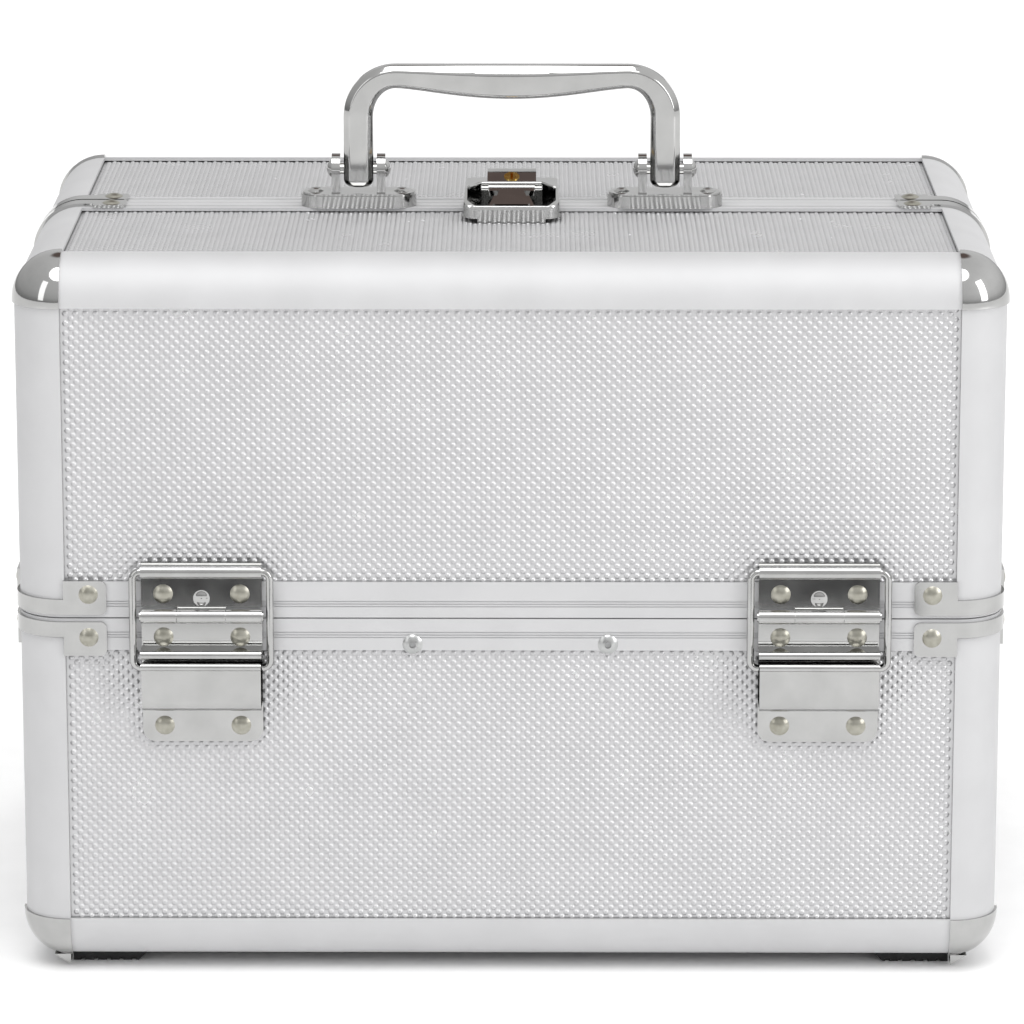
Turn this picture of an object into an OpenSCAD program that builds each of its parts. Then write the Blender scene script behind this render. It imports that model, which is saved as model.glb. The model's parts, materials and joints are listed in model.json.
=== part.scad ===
// Makeup train case with two half lids that open outwards, cantilever trays,
// ring stay hinges, a folding bail handle and a key lock.
// Origin: centre of the footprint on the floor. +X right, -Y front, +Z up. Millimetres.

/* [Case] */
// outer width of the case, mm
body_w = 380; // [300:1:460]
// outer depth of the case, mm
body_d = 240; // [200:1:280]
// height of the case body without its feet, mm
body_h = 280; // [250:1:330]
// height of the seam between the lower case and the lids above the body's base, mm
seam_h = 140; // [120:1:160]
// gap between lids and lower case, mm
seam_gap = 0.5; // [0.3:0.05:1.2]

/* [Edge extrusions] */
// outside radius of the aluminium edges, mm
edge_r = 18; // [12:0.5:22]
// width an edge covers on each face, mm
edge_w = 18.6; // [13:0.1:24]
// thickness of the rounded skin, mm
skin_t = 1.2; // [0.8:0.1:2]
// thickness of the lips over the boards, mm
lip_t = 1.3; // [1:0.1:2]
// thickness of the inner flanges, mm
flange_t = 1.4; // [1:0.1:2.5]
// width of the inner flanges of the corner posts, mm
flange_w = 22; // [20:0.5:30]
// height of the seam strip of the lower case, mm
base_strip_h = 12.5; // [9:0.5:18]
// height of the seam strip of the lids, mm
lid_strip_h = 14; // [9:0.5:18]
// width of the strip beside the middle seam of each lid, mm
mid_strip_w = 11.5; // [9:0.5:18]
// depth of the fine grooves in the seam strips, mm
groove_depth = 0.4; // [0.2:0.05:0.8]
// width of a fine groove, mm
groove_w = 0.5; // [0.3:0.05:0.8]
// distance between fine grooves, mm
groove_pitch = 1; // [0.8:0.05:2]

/* [Boards] */
// thickness of the faced boards, mm
board_t = 4.1; // [3:0.1:6]

/* [Corner caps and brackets] */
// thickness of a ball corner cap, mm
cap_t = 1.4; // [1:0.1:2]
// height of a cap over the edge extrusions, mm
cap_proud = 1; // [0.4:0.1:1.5]
// sheet thickness of the brackets and hinge leaves, mm
sheet_t = 1.2; // [0.8:0.1:2]
// width of a bracket tab, mm
tab_w = 16.2; // [12:0.1:20]
// height of a bracket tab, mm
tab_h = 13.4; // [10:0.1:16]
// height of a bracket's band round the corner, mm
band_h = 6; // [4:0.1:8]
// diameter of a bracket rivet head, mm
small_rivet_d = 7.4; // [5:0.1:8]

/* [Stop hinges] */
// distance of each hinge's middle from the side of the case, mm
hinge_in = 71.4; // [50:0.1:110]
// width of a hinge, mm
hinge_w = 46.4; // [36:0.1:60]
// distance of the hinge pin outside the case face, mm
pin_out = 3.4; // [3:0.1:5]
// height of the hinge pins above the seam, mm
pin_up = 1.6; // [0:0.1:3]
// radius of the hinge knuckles, mm
knuckle_r = 2.8; // [2.4:0.1:3.4]
// radius of the hinge pin, mm
pin_r = 1.2; // [0.8:0.05:1.8]
// running clearance of pins in their holes, mm
run_fit = 0.07; // [0.02:0.01:0.1]
// width of the middle knuckle, mm
mid_knuckle_w = 18.6; // [12:0.2:24]
// height of the ring's pivot above the hinge pin, mm
curl_h = 17.6; // [12:0.1:22]
// length of the ring stay, mm
ring_len = 38; // [30:0.1:44]
// radius of the ring stay's wire, mm
wire_r = 1.45; // [0.9:0.05:1.6]
// gap between the ring stay's sides and the hinge leaves, mm
ring_gap = 1.7; // [0.5:0.1:4]
// gap between hinge face and the inside of the pocket flap, mm
pocket_gap = 7.7; // [6:0.1:10]
// diameter of a hinge rivet head, mm
rivet_d = 7.6; // [5:0.1:9]
// distance between the two rivets of a row, mm
rivet_pitch = 29.5; // [20:0.5:36]

/* [Handle] */
// outside width of the handle, mm
handle_w = 134; // [110:1:160]
// top of the handle above the case top, mm
handle_h = 56.8; // [45:0.1:70]
// width of a handle leg, mm
leg_w = 11.8; // [9:0.1:16]
// height of the handle's bar, mm
bar_h = 9.4; // [7:0.1:12]
// radius of the handle's bends to the middle of the bar, mm
bend_r = 15.9; // [12:0.1:22]
// height of the handle above the shoulders of its legs, mm
shoulder = 24; // [22:0.5:32]
// depth of the handle section, mm
leg_d = 10; // [7:0.5:14]
// bevel on the handle's edges, mm
bevel = 2.6; // [1:0.1:3.5]
// extra height of the grip in its middle, mm
belly = 4.3; // [2:0.1:8]
// height of the handle pivot above the case top, mm
pivot_h = 14.7; // [13:0.1:20]
// distance of the handle's middle plane in front of the middle seam, mm
handle_y = 4.4; // [4.2:0.1:16]
// width of a handle base plate, mm
plate_w = 46; // [38:0.5:56]
// depth of a handle base plate, mm
plate_d = 17.8; // [16:0.2:24]
// thickness of a handle base plate, mm
plate_t = 5.7; // [3:0.1:6]
// thickness of a bracket ear, mm
ear_t = 3.4; // [2.4:0.1:5]
// gap between a leg and the ears beside it, mm
ear_gap = 1.4; // [0.4:0.1:3]
// radius of a bracket ear, mm
ear_r = 6.1; // [4:0.1:8]
// length of a leg below its pivot, mm
leg_toe = 7.2; // [5:0.1:9]
// distance between the two screws of a base plate, mm
screw_pitch = 34.4; // [28:0.1:44]
// radius of the handle pivot pins, mm
handle_pin_r = 2.2; // [1.5:0.1:3]

/* [Lock] */
// width of the lock, mm
lock_w = 39; // [34:0.5:46]
// depth of the lock, mm
lock_d = 34.3; // [33:0.1:44]
// height of the lock's rim, mm
rim_h = 4.2; // [3:0.1:6]
// height of the lock's housing, mm
lock_h = 10.6; // [9:0.1:14]
// width of the raised key block, mm
block_w = 19.4; // [14:0.2:24]
// rise of the key block over the housing, mm
block_rise = 3.8; // [2:0.1:5]
// radius of the key cylinder, mm
key_r = 3.1; // [2:0.1:4]
// height of the lever's pivot above the lid's top, mm
lever_h = 9; // [7:0.1:10]
// slope of the resting lever, degrees
lever_tilt = 18; // [10:1:25]
// travel of the lock bolt, mm
bolt_travel = 6; // [4:0.5:7]

/* [Trays] */
// height of a tray, mm
tray_h = 33; // [25:1:40]
// wall thickness of a tray, mm
tray_t = 2; // [1.4:0.1:3]
// gap between the case wall and the drive links, mm
link_gap = 2.2; // [1:0.1:4]
// space between the drive links and the arms, mm
arm_space = 2; // [1:0.1:4]
// space between the arms and the trays, mm
tray_space = 3; // [2:0.1:6]
// gap between the upper trays and the middle seam, mm
tray_mid_gap = 7.4; // [2:0.1:12]
// thickness of the tray arms, mm
arm_t = 2; // [1.5:0.1:3]
// width of the tray arms, mm
arm_w = 9; // [7:0.5:12]
// distance along an arm from its foot to the lower tray, mm
arm_r = 60; // [50:0.5:70]
// distance along an arm from the lower to the upper tray, mm
arm_step = 56; // [50:0.5:62]
// lean of the closed arms towards the middle, degrees
arm_lean = 25; // [20:1:28]
// distance of the outer arm's foot behind the hinge pin, mm
arm_foot_u = 28; // [26:0.1:32]
// distance of the inner arm's foot from the trays' inner ends, mm
arm_foot_in = 53; // [52:0.5:62]
// distance of the outermost dividers of a lower tray from its middle, mm
low_divider_x = 60; // [30:1:90]
// distance of the outermost dividers of an upper tray from its middle, mm
high_divider_x = 86; // [30:1:100]
// how far the dividers stay below a tray's rim, mm
divider_drop = 9; // [4:1:15]
// how far the cross dividers stay below a tray's rim, mm
cross_drop = 12; // [4:1:18]

/* [Feet] */
// height of the feet, mm
foot_h = 4.4; // [3:0.1:10]
// length of a foot, mm
foot_l = 30; // [20:1:50]
// width of a foot, mm
foot_w = 26; // [12:1:40]

/* [Hidden] */
$fn = 48;
eps = 0.01;
hw = body_w / 2;
hd = body_d / 2;
top_z = foot_h + body_h;
seam_z = foot_h + seam_h;
low_z = seam_z - seam_gap / 2;
up_z = seam_z + seam_gap / 2;
base_rim_z = low_z - base_strip_h;
lid_rim_z = up_z + lid_strip_h;
in_d = lip_t + board_t;
full_d = in_d + flange_t;
board_in = edge_r;
mid_y = seam_gap / 2;
web_t = 1.8;
pin_y = -hd - pin_out;
ring_ratio = 0.7;
lock_case_d = lock_d - 1.3;
pin_z = seam_z + pin_up;
ring_half = hinge_w / 2 + ring_gap + wire_r;
pocket_top = ring_len - curl_h - 2;
flap_bottom = ring_len - 1.2;
wall_x = hw - full_d;
link_x = wall_x - link_gap - arm_t;
arm_x = link_x - arm_space - arm_t;
tray_half = arm_x - tray_space;
arm_foot_v = -8;
hinge_x = hw - hinge_in;
link_lid_u = arm_foot_u - 4.5;
link_lid_v = 15;
link_arm_r = 38;
link_slot = 2.6;
link_eye = 4.4;
link_play = 7.4;
tray_u = [full_d + pin_out + 9.8, full_d + pin_out + 5.8];
tray_end_u = -pin_y - tray_mid_gap;
arm_gap = tray_end_u - arm_foot_in - arm_foot_u;
divider_x = [low_divider_x, high_divider_x];
cross_y = [8, -6];
divider_t = 1.6;
tray_v0 = 32;
stud_r = 1.5;

// which sub-component to build, or all of them

// ---------- shared shapes ----------

// Rounded rectangle about the origin, with true arcs.
module rrect(w, d, r) {
    square([w - 2 * r, d], center = true);
    square([w, d - 2 * r], center = true);
    for (sx = [-1, 1], sy = [-1, 1])
        translate([sx * (w / 2 - r), sy * (d / 2 - r)]) circle(r = r);
}

module both_x() {
    children();
    mirror([1, 0, 0]) children();
}

module both_y() {
    children();
    mirror([0, 1, 0]) children();
}

// Cross-section of an edge extrusion, outer corner at the origin, inside towards +,+.
module edge_section(leg) {
    intersection() {
        translate([edge_r, edge_r]) difference() {
            circle(r = edge_r, $fn = 96);
            circle(r = edge_r - skin_t, $fn = 96);
        }
        square([edge_r, edge_r]);
    }
    translate([edge_r - eps, 0]) square([edge_w - edge_r + eps, lip_t]);
    translate([0, edge_r - eps]) square([lip_t, edge_w - edge_r + eps]);
    difference() {
        translate([in_d, in_d]) square(leg - in_d);
        translate([full_d, full_d]) square(leg);
    }
}

module along_x(len) {
    rotate([90, 0, 90]) linear_extrude(height = len, center = true) children();
}

module along_y(len) {
    rotate([90, 0, 0]) linear_extrude(height = len) children();
}

// Upright post in the corner at -X, -Y.
module post(z1, z2) {
    translate([-hw, -hd, z1]) linear_extrude(height = z2 - z1) edge_section(flange_w);
}

// Quarter of a hollow ball for the corner at -X, -Y, -Z of its own box.
module ball_cap() {
    difference() {
        intersection() {
            translate([edge_r, edge_r, edge_r]) difference() {
                sphere(r = edge_r + cap_proud, $fn = 64);
                sphere(r = edge_r + cap_proud - cap_t, $fn = 64);
            }
            translate([-2, -2, -2]) cube(edge_w + 2);
        }
    }
}

// Ring of rectangular section all round the case: depths d1 to d2, heights z1 to z2.
module hoop(d1, d2, z1, z2) {
    translate([0, 0, z1]) linear_extrude(height = z2 - z1) difference() {
        rrect(body_w - 2 * d1, body_d - 2 * d1, edge_r - d1, $fn = 96);
        rrect(body_w - 2 * d2, body_d - 2 * d2, edge_r - d2, $fn = 96);
    }
}

// Cuts the fine grooves of a seam strip, the middle one at height z.
module groove_set(z) {
    for (i = [-1:1])
        hoop(-1, groove_depth, z + i * groove_pitch - groove_w / 2, z + i * groove_pitch + groove_w / 2);
}

// Domed rivet head standing on the XY plane, with its shank below.
module dome_rivet(d, h, shank_r, shank_l) {
    a = d / 2;
    r = (a * a + h * h) / (2 * h);
    intersection() {
        translate([0, 0, h - r]) sphere(r = r);
        cylinder(r = a + 1, h = h + 1);
    }
    translate([0, 0, -shank_l]) cylinder(r = shank_r, h = shank_l + 0.2);
}

// Turns a shape on the XY plane to stand on the front face, at x and height z.
module on_front(x, z, out = 0) {
    translate([x, -hd - out, z]) rotate([90, 0, 0]) children();
}

// Same for the side face at -X.
module on_side(y, z, out = 0) {
    translate([-hw - out, y, z]) rotate([90, 0, -90]) children();
}

// ---------- lower case ----------

module wall_board(w, z1, z2, y) {
    translate([-w / 2, y, z1]) cube([w, board_t, z2 - z1]);
}

module base_wall_boards() {
    z1 = foot_h + board_in;
    z2 = low_z - web_t;
    color("silver") {
        both_y() wall_board(body_w - 2 * board_in, z1, z2, -hd + lip_t);
        both_x() translate([-hw + lip_t, -hd + board_in, z1]) cube([board_t, body_d - 2 * board_in, z2 - z1]);
    }
}

module base_floor_board() {
    color("silver")
        translate([-hw + board_in, -hd + board_in, foot_h + lip_t])
            cube([body_w - 2 * board_in, body_d - 2 * board_in, board_t]);
}

module base_lining() {
    z1 = foot_h + edge_w;
    color("dimgray") {
        both_y() translate([-hw + flange_w, -hd + in_d, z1])
            cube([body_w - 2 * flange_w, flange_t, base_rim_z - z1]);
        both_x() translate([-hw + in_d, -hd + flange_w, z1])
            cube([flange_t, body_d - 2 * flange_w, base_rim_z - z1]);
        translate([0, 0, foot_h + in_d]) linear_extrude(height = flange_t)
            square([body_w - 2 * edge_w, body_d - 2 * edge_w], center = true);
    }
}

module base_edge_rails() {
    color("gainsboro") {
        both_y() translate([0, -hd, foot_h]) along_x(body_w - 2 * edge_w) edge_section(edge_w);
        both_x() translate([-hw, hd - edge_w, foot_h]) along_y(body_d - 2 * edge_w) edge_section(edge_w);
    }
}

module base_corner_posts() {
    color("gainsboro") both_x() both_y() post(foot_h + edge_w, base_rim_z);
}

module base_seam_rim() {
    color("gainsboro") difference() {
        union() {
            hoop(0, lip_t, base_rim_z, low_z);
            hoop(in_d, full_d, base_rim_z, low_z);
            hoop(0.2, full_d - 0.2, low_z - web_t, low_z);
        }
        groove_set(low_z - 6.4);
    }
}

// Skid under a cap, sloping down to the foot beside it.
module cap_skid() {
    translate([0, edge_r + 0.4, 0]) along_y(7)
        polygon([[edge_r - 7, 0.3], [edge_r - 0.6, -foot_h + 0.6], [edge_r - 0.6, 0.3]]);
}

module base_corner_caps() {
    color("white") both_x() both_y() translate([-hw, -hd, foot_h]) {
        ball_cap();
        cap_skid();
    }
}

tab_root = 0.4;
tab_fillet = 2;

// Outline of a bracket tab from its root at x = 0, heights measured from the band's edge.
module tab_outline() {
    r = 2.5;
    difference() {
        union() {
            square([tab_w - r, tab_h]);
            translate([0, r]) square([tab_w, tab_h - 2 * r]);
            translate([tab_w - r, r]) circle(r = r);
            translate([tab_w - r, tab_h - r]) circle(r = r);
            translate([-edge_w, 0]) square([edge_w + 1, band_h]);
            difference() {
                translate([-tab_root - tab_fillet, 0]) square([tab_root + tab_fillet + 1, band_h + tab_fillet]);
                translate([-tab_root - tab_fillet, band_h + tab_fillet]) circle(r = tab_fillet);
            }
            translate([-tab_root, 0]) square([tab_root + 1, tab_h]);
        }
        translate([-2 * edge_w, -1]) square([edge_w + edge_r + 0.2, tab_h + 2]);
    }
}

// Bracket round the upright edge at -X, -Y, band edge at z = 0, tabs rising.
module seam_bracket(rivet_up) {
    intersection() {
        difference() {
            linear_extrude(height = band_h) rrect(body_w + 2 * sheet_t, body_d + 2 * sheet_t, edge_r + sheet_t, $fn = 96);
            translate([0, 0, -1]) linear_extrude(height = band_h + 2) rrect(body_w, body_d, edge_r, $fn = 96);
        }
        translate([-hw - 5, -hd - 5, -1]) cube([edge_w + 5.5, edge_w + 5.5, band_h + 2]);
    }
    difference() {
        union() {
            translate([-hw + edge_w, -hd, 0]) rotate([90, 0, 0]) linear_extrude(height = sheet_t) tab_outline();
            translate([-hw - sheet_t, -hd + edge_w, 0]) rotate([90, 0, 90]) linear_extrude(height = sheet_t) tab_outline();
        }
        translate([-hw + rivet_in, -hd + 1, rivet_up]) rotate([90, 0, 0]) cylinder(r = stud_r + run_fit, h = 5);
        translate([-hw - 4, -hd + rivet_in, rivet_up]) rotate([0, 90, 0]) cylinder(r = stud_r + run_fit, h = 5);
    }
}
rivet_in = 27.9;
lid_rivet_up = 8.1;
base_rivet_up = 6;
bracket_lift = 1.2;

module bracket_rivets(rivet_up) {
    on_front(-hw + rivet_in, rivet_up, sheet_t) dome_rivet(small_rivet_d, 1.3, stud_r, sheet_t);
    on_side(-hd + rivet_in, rivet_up, sheet_t) dome_rivet(small_rivet_d, 1.3, stud_r, sheet_t);
}

module base_seam_brackets() {
    color("white") both_x() both_y()
        translate([0, 0, low_z - bracket_lift]) mirror([0, 0, 1]) seam_bracket(base_rivet_up);
}

module base_bracket_rivets() {
    color("tan") both_x() both_y()
        translate([0, 0, low_z - bracket_lift]) mirror([0, 0, 1]) bracket_rivets(base_rivet_up);
}

module at_front_hinges() {
    both_x() translate([-hinge_x, pin_y, pin_z]) children();
}

row_up = 8.3;
row_down = 8.8;
row_bottom = 44.1;
leaf_drop = 50.6;
leaf_rise = 20.9;
slot_drop = 37.2;

// Lower leaf with knuckles, guard roll and the pocket that the ring stay slides in.
module lower_leaf() {
    h = hinge_w / 2;
    r = 5;
    gap = 0.2;
    knuckle_l = h - mid_knuckle_w / 2 - gap;
    difference() {
        union() {
            translate([0, pin_out, 0]) rotate([90, 0, 0]) linear_extrude(height = sheet_t) {
                translate([-h, -leaf_drop + r]) square([hinge_w, leaf_drop - r - knuckle_r - 0.4]);
                translate([-h + r, -leaf_drop]) square([hinge_w - 2 * r, r + 1]);
                for (s = [-1, 1]) translate([s * (h - r), -leaf_drop + r]) circle(r = r);
            }
            for (s = [-1, 1]) translate([s * (h - knuckle_l / 2), 0, 0]) {
                rotate([0, 90, 0]) cylinder(r = knuckle_r, h = knuckle_l, center = true);
                translate([-knuckle_l / 2, pin_out - sheet_t, -4]) cube([knuckle_l, sheet_t - 0.3, 3]);
            }
            along_x(hinge_w - 0.6) pocket_section();
            along_x(hinge_w) guard_section();
        }
        rotate([0, 90, 0]) cylinder(r = pin_r + run_fit, h = hinge_w + 2, center = true);
        for (s = [-1, 1], v = [-row_down, -row_bottom])
            translate([s * rivet_pitch / 2, pin_out + 1, v]) rotate([90, 0, 0]) cylinder(r = stud_r + run_fit, h = 5);
        for (s = [-1, 1]) translate([s * rivet_pitch / 2 - 3.6, 0, -slot_drop - 1.1]) cube([7.2, 6, 1.1]);
    }
}

// Step of the leaf over the pocket, ending in a roll: Y towards the case, Z up, pin at the origin.
module guard_section() {
    top = row_down + rivet_d / 2 + 0.15;
    front = pin_out - sheet_t - pocket_gap;
    polygon([[pin_out - sheet_t + 0.4, -top], [front + 1, -top - 0.5], [front + 1, -top - 1.9], [pin_out - sheet_t + 0.4, -top - 1.4]]);
    translate([front + 0.6, -top - 1.4]) circle(r = 1.75);
}

// Pocket flap in section: Y towards the case, Z up, pin at the origin.
module pocket_section() {
    inner = pin_out - sheet_t - pocket_gap;
    bend = 4.6;
    translate([inner - sheet_t, -flap_bottom + bend]) square([sheet_t, flap_bottom - bend - pocket_top]);
    translate([inner - sheet_t + bend, -flap_bottom + bend]) intersection() {
        difference() {
            circle(r = bend);
            circle(r = bend - sheet_t);
        }
        translate([-bend, -bend]) square(bend);
    }
    translate([inner - sheet_t + bend - eps, -flap_bottom]) square([pin_out - 0.4 - inner + sheet_t - bend, sheet_t]);
    translate([inner - sheet_t / 2 - 0.6, -pocket_top]) circle(r = 1.5);
}

module lower_hinge_leaves() {
    color("white") both_y() at_front_hinges() lower_leaf();
}

module hinge_rivet_row(v) {
    for (s = [-1, 1]) translate([s * rivet_pitch / 2, pin_out - sheet_t, v])
        rotate([90, 0, 0]) dome_rivet(rivet_d, 1.4, stud_r, sheet_t);
}

module lower_hinge_rivets() {
    color("tan") both_y() at_front_hinges() {
        hinge_rivet_row(-row_down);
        hinge_rivet_row(-row_bottom);
    }
}

module hinge_pins() {
    color("white") both_y() at_front_hinges() rotate([0, 90, 0]) {
        cylinder(r = pin_r, h = hinge_w + 0.8, center = true);
        for (s = [-1, 1]) translate([0, 0, s * (hinge_w / 2 + 0.35)]) cylinder(r = 2, h = 0.6, center = true);
    }
}

module pop_rivets() {
    color("gray") both_x() on_front(-37.6, seam_z - 10.4) difference() {
        dome_rivet(small_rivet_d + 0.4, 1.4, 1.4, 0.01);
        translate([0, 0, -1]) cylinder(r = 1.25, h = 4);
    }
}

foot_in = 17.8;

// Ribbed foot with one sloping end.
module feet() {
    color("black") both_x() both_y() difference() {
        translate([-hw + foot_in, -hd + edge_r + foot_w, 0]) along_y(foot_w)
            polygon([[0, 0], [foot_l - foot_h, 0], [foot_l, foot_h], [0, foot_h]]);
        for (i = [0:4]) translate([-hw + foot_in + 3 + i * 5, -hd, -eps]) cube([1.6, edge_r + foot_w + 1, 0.9]);
        translate([-hw + edge_r, -hd + edge_r, foot_h + edge_r]) sphere(r = edge_r + cap_proud + run_fit);
    }
}

// Stamped plate on the side wall that carries the two arm pivots of one tray pair.
module foot_plate() {
    u1 = arm_foot_u;
    u2 = arm_foot_u + arm_gap;
    translate([-wall_x, pin_y, pin_z + arm_foot_v]) rotate([90, 0, 90]) {
        linear_extrude(height = 1.6) {
            translate([u1, 0]) circle(r = 6);
            translate([u2, 0]) circle(r = 6);
            translate([u1, -6]) square([u2 - u1, 12]);
            translate([u1 + 4, -24]) square([u2 - u1 - 8, 20]);
        }
        for (u = [u1, u2]) translate([u, 0, 0]) {
            cylinder(r = 3.4, h = wall_x - arm_x - arm_t - 0.3);
            cylinder(r = stud_r, h = wall_x - arm_x + 0.9);
            translate([0, 0, wall_x - arm_x + 0.3]) cylinder(r = 2.6, h = 0.8);
        }
        for (u = [u1 + 9, u2 - 9]) translate([u, -17, 1.6]) dome_rivet(5.6, 1, 1, 0.01);
    }
}

module arm_foot_plates() {
    color("lightgray") both_x() both_y() foot_plate();
}

// ---------- half lid, modelled at the front ----------

module lid_boards() {
    z1 = up_z + web_t;
    z2 = top_z - board_in;
    len = hd - board_in - mid_y - web_t;
    wall_board(body_w - 2 * board_in, z1, z2, -hd + lip_t);
    both_x() translate([-hw + lip_t, -hd + board_in, z1]) cube([board_t, len, z2 - z1]);
    difference() {
        translate([-hw + board_in, -hd + board_in, top_z - in_d]) cube([body_w - 2 * board_in, len, board_t]);
        children();
    }
}

module lid_lining() {
    z1 = lid_rim_z;
    z2 = top_z - edge_w;
    y1 = -mid_y - mid_strip_w;
    translate([-hw + flange_w, -hd + in_d, z1]) cube([body_w - 2 * flange_w, flange_t, z2 - z1]);
    both_x() translate([-hw + in_d, -hd + flange_w, z1]) cube([flange_t, y1 + hd - flange_w, z2 - z1]);
    translate([-hw + edge_w, -hd + edge_w, top_z - full_d]) cube([body_w - 2 * edge_w, y1 + hd - edge_w, flange_t]);
}

module lid_rails() {
    translate([0, -hd, top_z]) mirror([0, 0, 1]) along_x(body_w - 2 * edge_w) edge_section(edge_w);
    both_x() translate([-hw, -mid_y, top_z]) mirror([0, 0, 1]) along_y(hd - edge_w - mid_y) edge_section(edge_w);
}

module lid_posts() {
    both_x() post(lid_rim_z, top_z - edge_w);
}

module lid_seam_rim() {
    difference() {
        union() {
            hoop(0, lip_t, up_z, lid_rim_z);
            hoop(in_d, full_d, up_z, lid_rim_z);
            hoop(0.2, full_d - 0.2, up_z, up_z + web_t);
        }
        groove_set(up_z + 5.4);
        translate([-hw - 5, -mid_y, up_z - 5]) cube([body_w + 10, hd + 10, lid_strip_h + 10]);
    }
}

// Section of the strip beside the middle seam: X away from the seam, Y into the case.
module mid_section() {
    difference() {
        square([mid_strip_w, lip_t]);
        for (i = [0:2]) translate([mid_strip_w / 2 + i * groove_pitch, -1]) square([groove_w, 1 + groove_depth]);
    }
    square([web_t, full_d]);
    translate([0, in_d]) square([mid_strip_w, flange_t]);
}

module lid_middle_trim() {
    translate([0, -mid_y, top_z]) rotate([180, 0, 0]) along_x(body_w - 2 * edge_w) mid_section();
    both_x() translate([-hw, -mid_y, lid_rim_z]) mirror([0, 1, 0]) rotate([0, 0, 90])
        mirror([0, 1, 0]) linear_extrude(height = top_z - edge_w - lid_rim_z) mid_section();
}

module lid_caps() {
    both_x() translate([-hw, -hd, top_z]) mirror([0, 0, 1]) ball_cap();
}

// Strap over the side edge at the middle seam, tabs on the top and on the side.
module top_bracket() {
    w = 8.5;
    difference() {
        union() {
            intersection() {
                translate([0, -mid_y - 0.6, 0]) along_y(w) translate([-hw + edge_r, top_z - edge_r]) difference() {
                    circle(r = edge_r + sheet_t, $fn = 96);
                    circle(r = edge_r, $fn = 96);
                }
                translate([-hw - 5, -mid_y - 1.6 - w, top_z - edge_r - 0.5]) cube([edge_r + 5.5, w + 2, edge_r + 5]);
            }
            translate([-hw + edge_r, -mid_y - 0.6 - w, top_z]) cube([2, w, sheet_t]);
            translate([-hw - sheet_t, -mid_y - 0.6 - w, top_z - edge_r - 2]) cube([sheet_t, w, 2]);
            translate([-hw + edge_r + 1, -mid_y - 0.6, top_z]) mirror([0, 1, 0]) linear_extrude(height = sheet_t) strap_tab(w);
            translate([-hw - sheet_t, -mid_y - 0.6, top_z - edge_r - 1]) rotate([0, 90, 0])
                mirror([0, 1, 0]) linear_extrude(height = sheet_t) strap_tab(w);
        }
        translate([-hw + edge_r + 12, -mid_y - 7, top_z - 1]) cylinder(r = stud_r + run_fit, h = 5);
        translate([-hw - 4, -mid_y - 7, top_z - edge_r - 12]) rotate([0, 90, 0]) cylinder(r = stud_r + run_fit, h = 5);
    }
}

module strap_tab(w) {
    square([6, w]);
    translate([4, 0]) square([11, 11.5]);
    translate([13, 2]) square([4, 7.5]);
    translate([15, 2]) circle(r = 2);
    translate([15, 9.5]) circle(r = 2);
}

module lid_brackets() {
    both_x() translate([0, 0, up_z + bracket_lift]) seam_bracket(lid_rivet_up);
    both_x() top_bracket();
}

module lid_rivets() {
    both_x() translate([0, 0, up_z + bracket_lift]) bracket_rivets(lid_rivet_up);
    both_x() translate([-hw + edge_r + 12, -mid_y - 7, top_z + sheet_t]) dome_rivet(small_rivet_d, 1.3, stud_r, sheet_t);
    both_x() on_side(-mid_y - 7, top_z - edge_r - 12, sheet_t) dome_rivet(small_rivet_d, 1.3, stud_r, sheet_t);
    at_front_hinges() hinge_rivet_row(row_up);
}

// Upper leaf with the middle knuckle and the curl that holds the ring stay.
module upper_leaf() {
    curl_r = wire_r + run_fit + 1.1;
    difference() {
        union() {
            translate([-hinge_w / 2, pin_out - sheet_t, knuckle_r + 0.4])
                cube([hinge_w, sheet_t, leaf_rise - knuckle_r - 0.4]);
            translate([-mid_knuckle_w / 2, pin_out - sheet_t, 0]) cube([mid_knuckle_w, sheet_t, 4]);
            rotate([0, 90, 0]) cylinder(r = knuckle_r, h = mid_knuckle_w, center = true);
            translate([0, 0, curl_h]) rotate([0, 90, 0]) cylinder(r = curl_r, h = hinge_w, center = true);
            translate([0, pin_out - sheet_t, row_up - 1.7]) rotate([90, 0, 0]) dome_rivet(6.6, 0.7, 1, 0.01);
        }
        rotate([0, 90, 0]) cylinder(r = pin_r + run_fit, h = hinge_w + 2, center = true);
        translate([0, 0, curl_h]) rotate([0, 90, 0]) cylinder(r = wire_r + run_fit, h = hinge_w + 2, center = true);
        for (s = [-1, 1]) translate([s * rivet_pitch / 2, pin_out + 1, row_up]) rotate([90, 0, 0])
            cylinder(r = stud_r + run_fit, h = 5);
    }
}

// Closed wire ring, hanging from the curl into the pocket.
module ring_stay() {
    r = 3;
    translate([0, 0, curl_h]) rotate([0, 90, 0]) cylinder(r = wire_r, h = 2 * (ring_half - r), center = true);
    translate([0, 0, curl_h - ring_len]) rotate([0, 90, 0]) cylinder(r = wire_r, h = 2 * (ring_half - r), center = true);
    both_x() translate([-ring_half, 0, curl_h - ring_len + r]) cylinder(r = wire_r, h = ring_len - 2 * r);
    both_x() translate([-ring_half + r, 0, curl_h - r]) rotate([90, 0, 0]) rotate([0, 0, 90])
        rotate_extrude(angle = 90) translate([r, 0]) circle(r = wire_r);
    both_x() translate([-ring_half + r, 0, curl_h - ring_len + r]) rotate([90, 0, 0]) rotate([0, 0, 180])
        rotate_extrude(angle = 90) translate([r, 0]) circle(r = wire_r);
}

// Stud on the side wall of the lid that drives the tray arms through a link.
module link_stud() {
    translate([-wall_x, pin_y + link_lid_u, pin_z + link_lid_v]) rotate([0, 90, 0]) {
        cylinder(r = 3, h = wall_x - link_x - arm_t - 0.3);
        cylinder(r = stud_r, h = wall_x - link_x + 0.9);
        translate([0, 0, wall_x - link_x + 0.3]) cylinder(r = 3, h = 0.6);
    }
}

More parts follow.
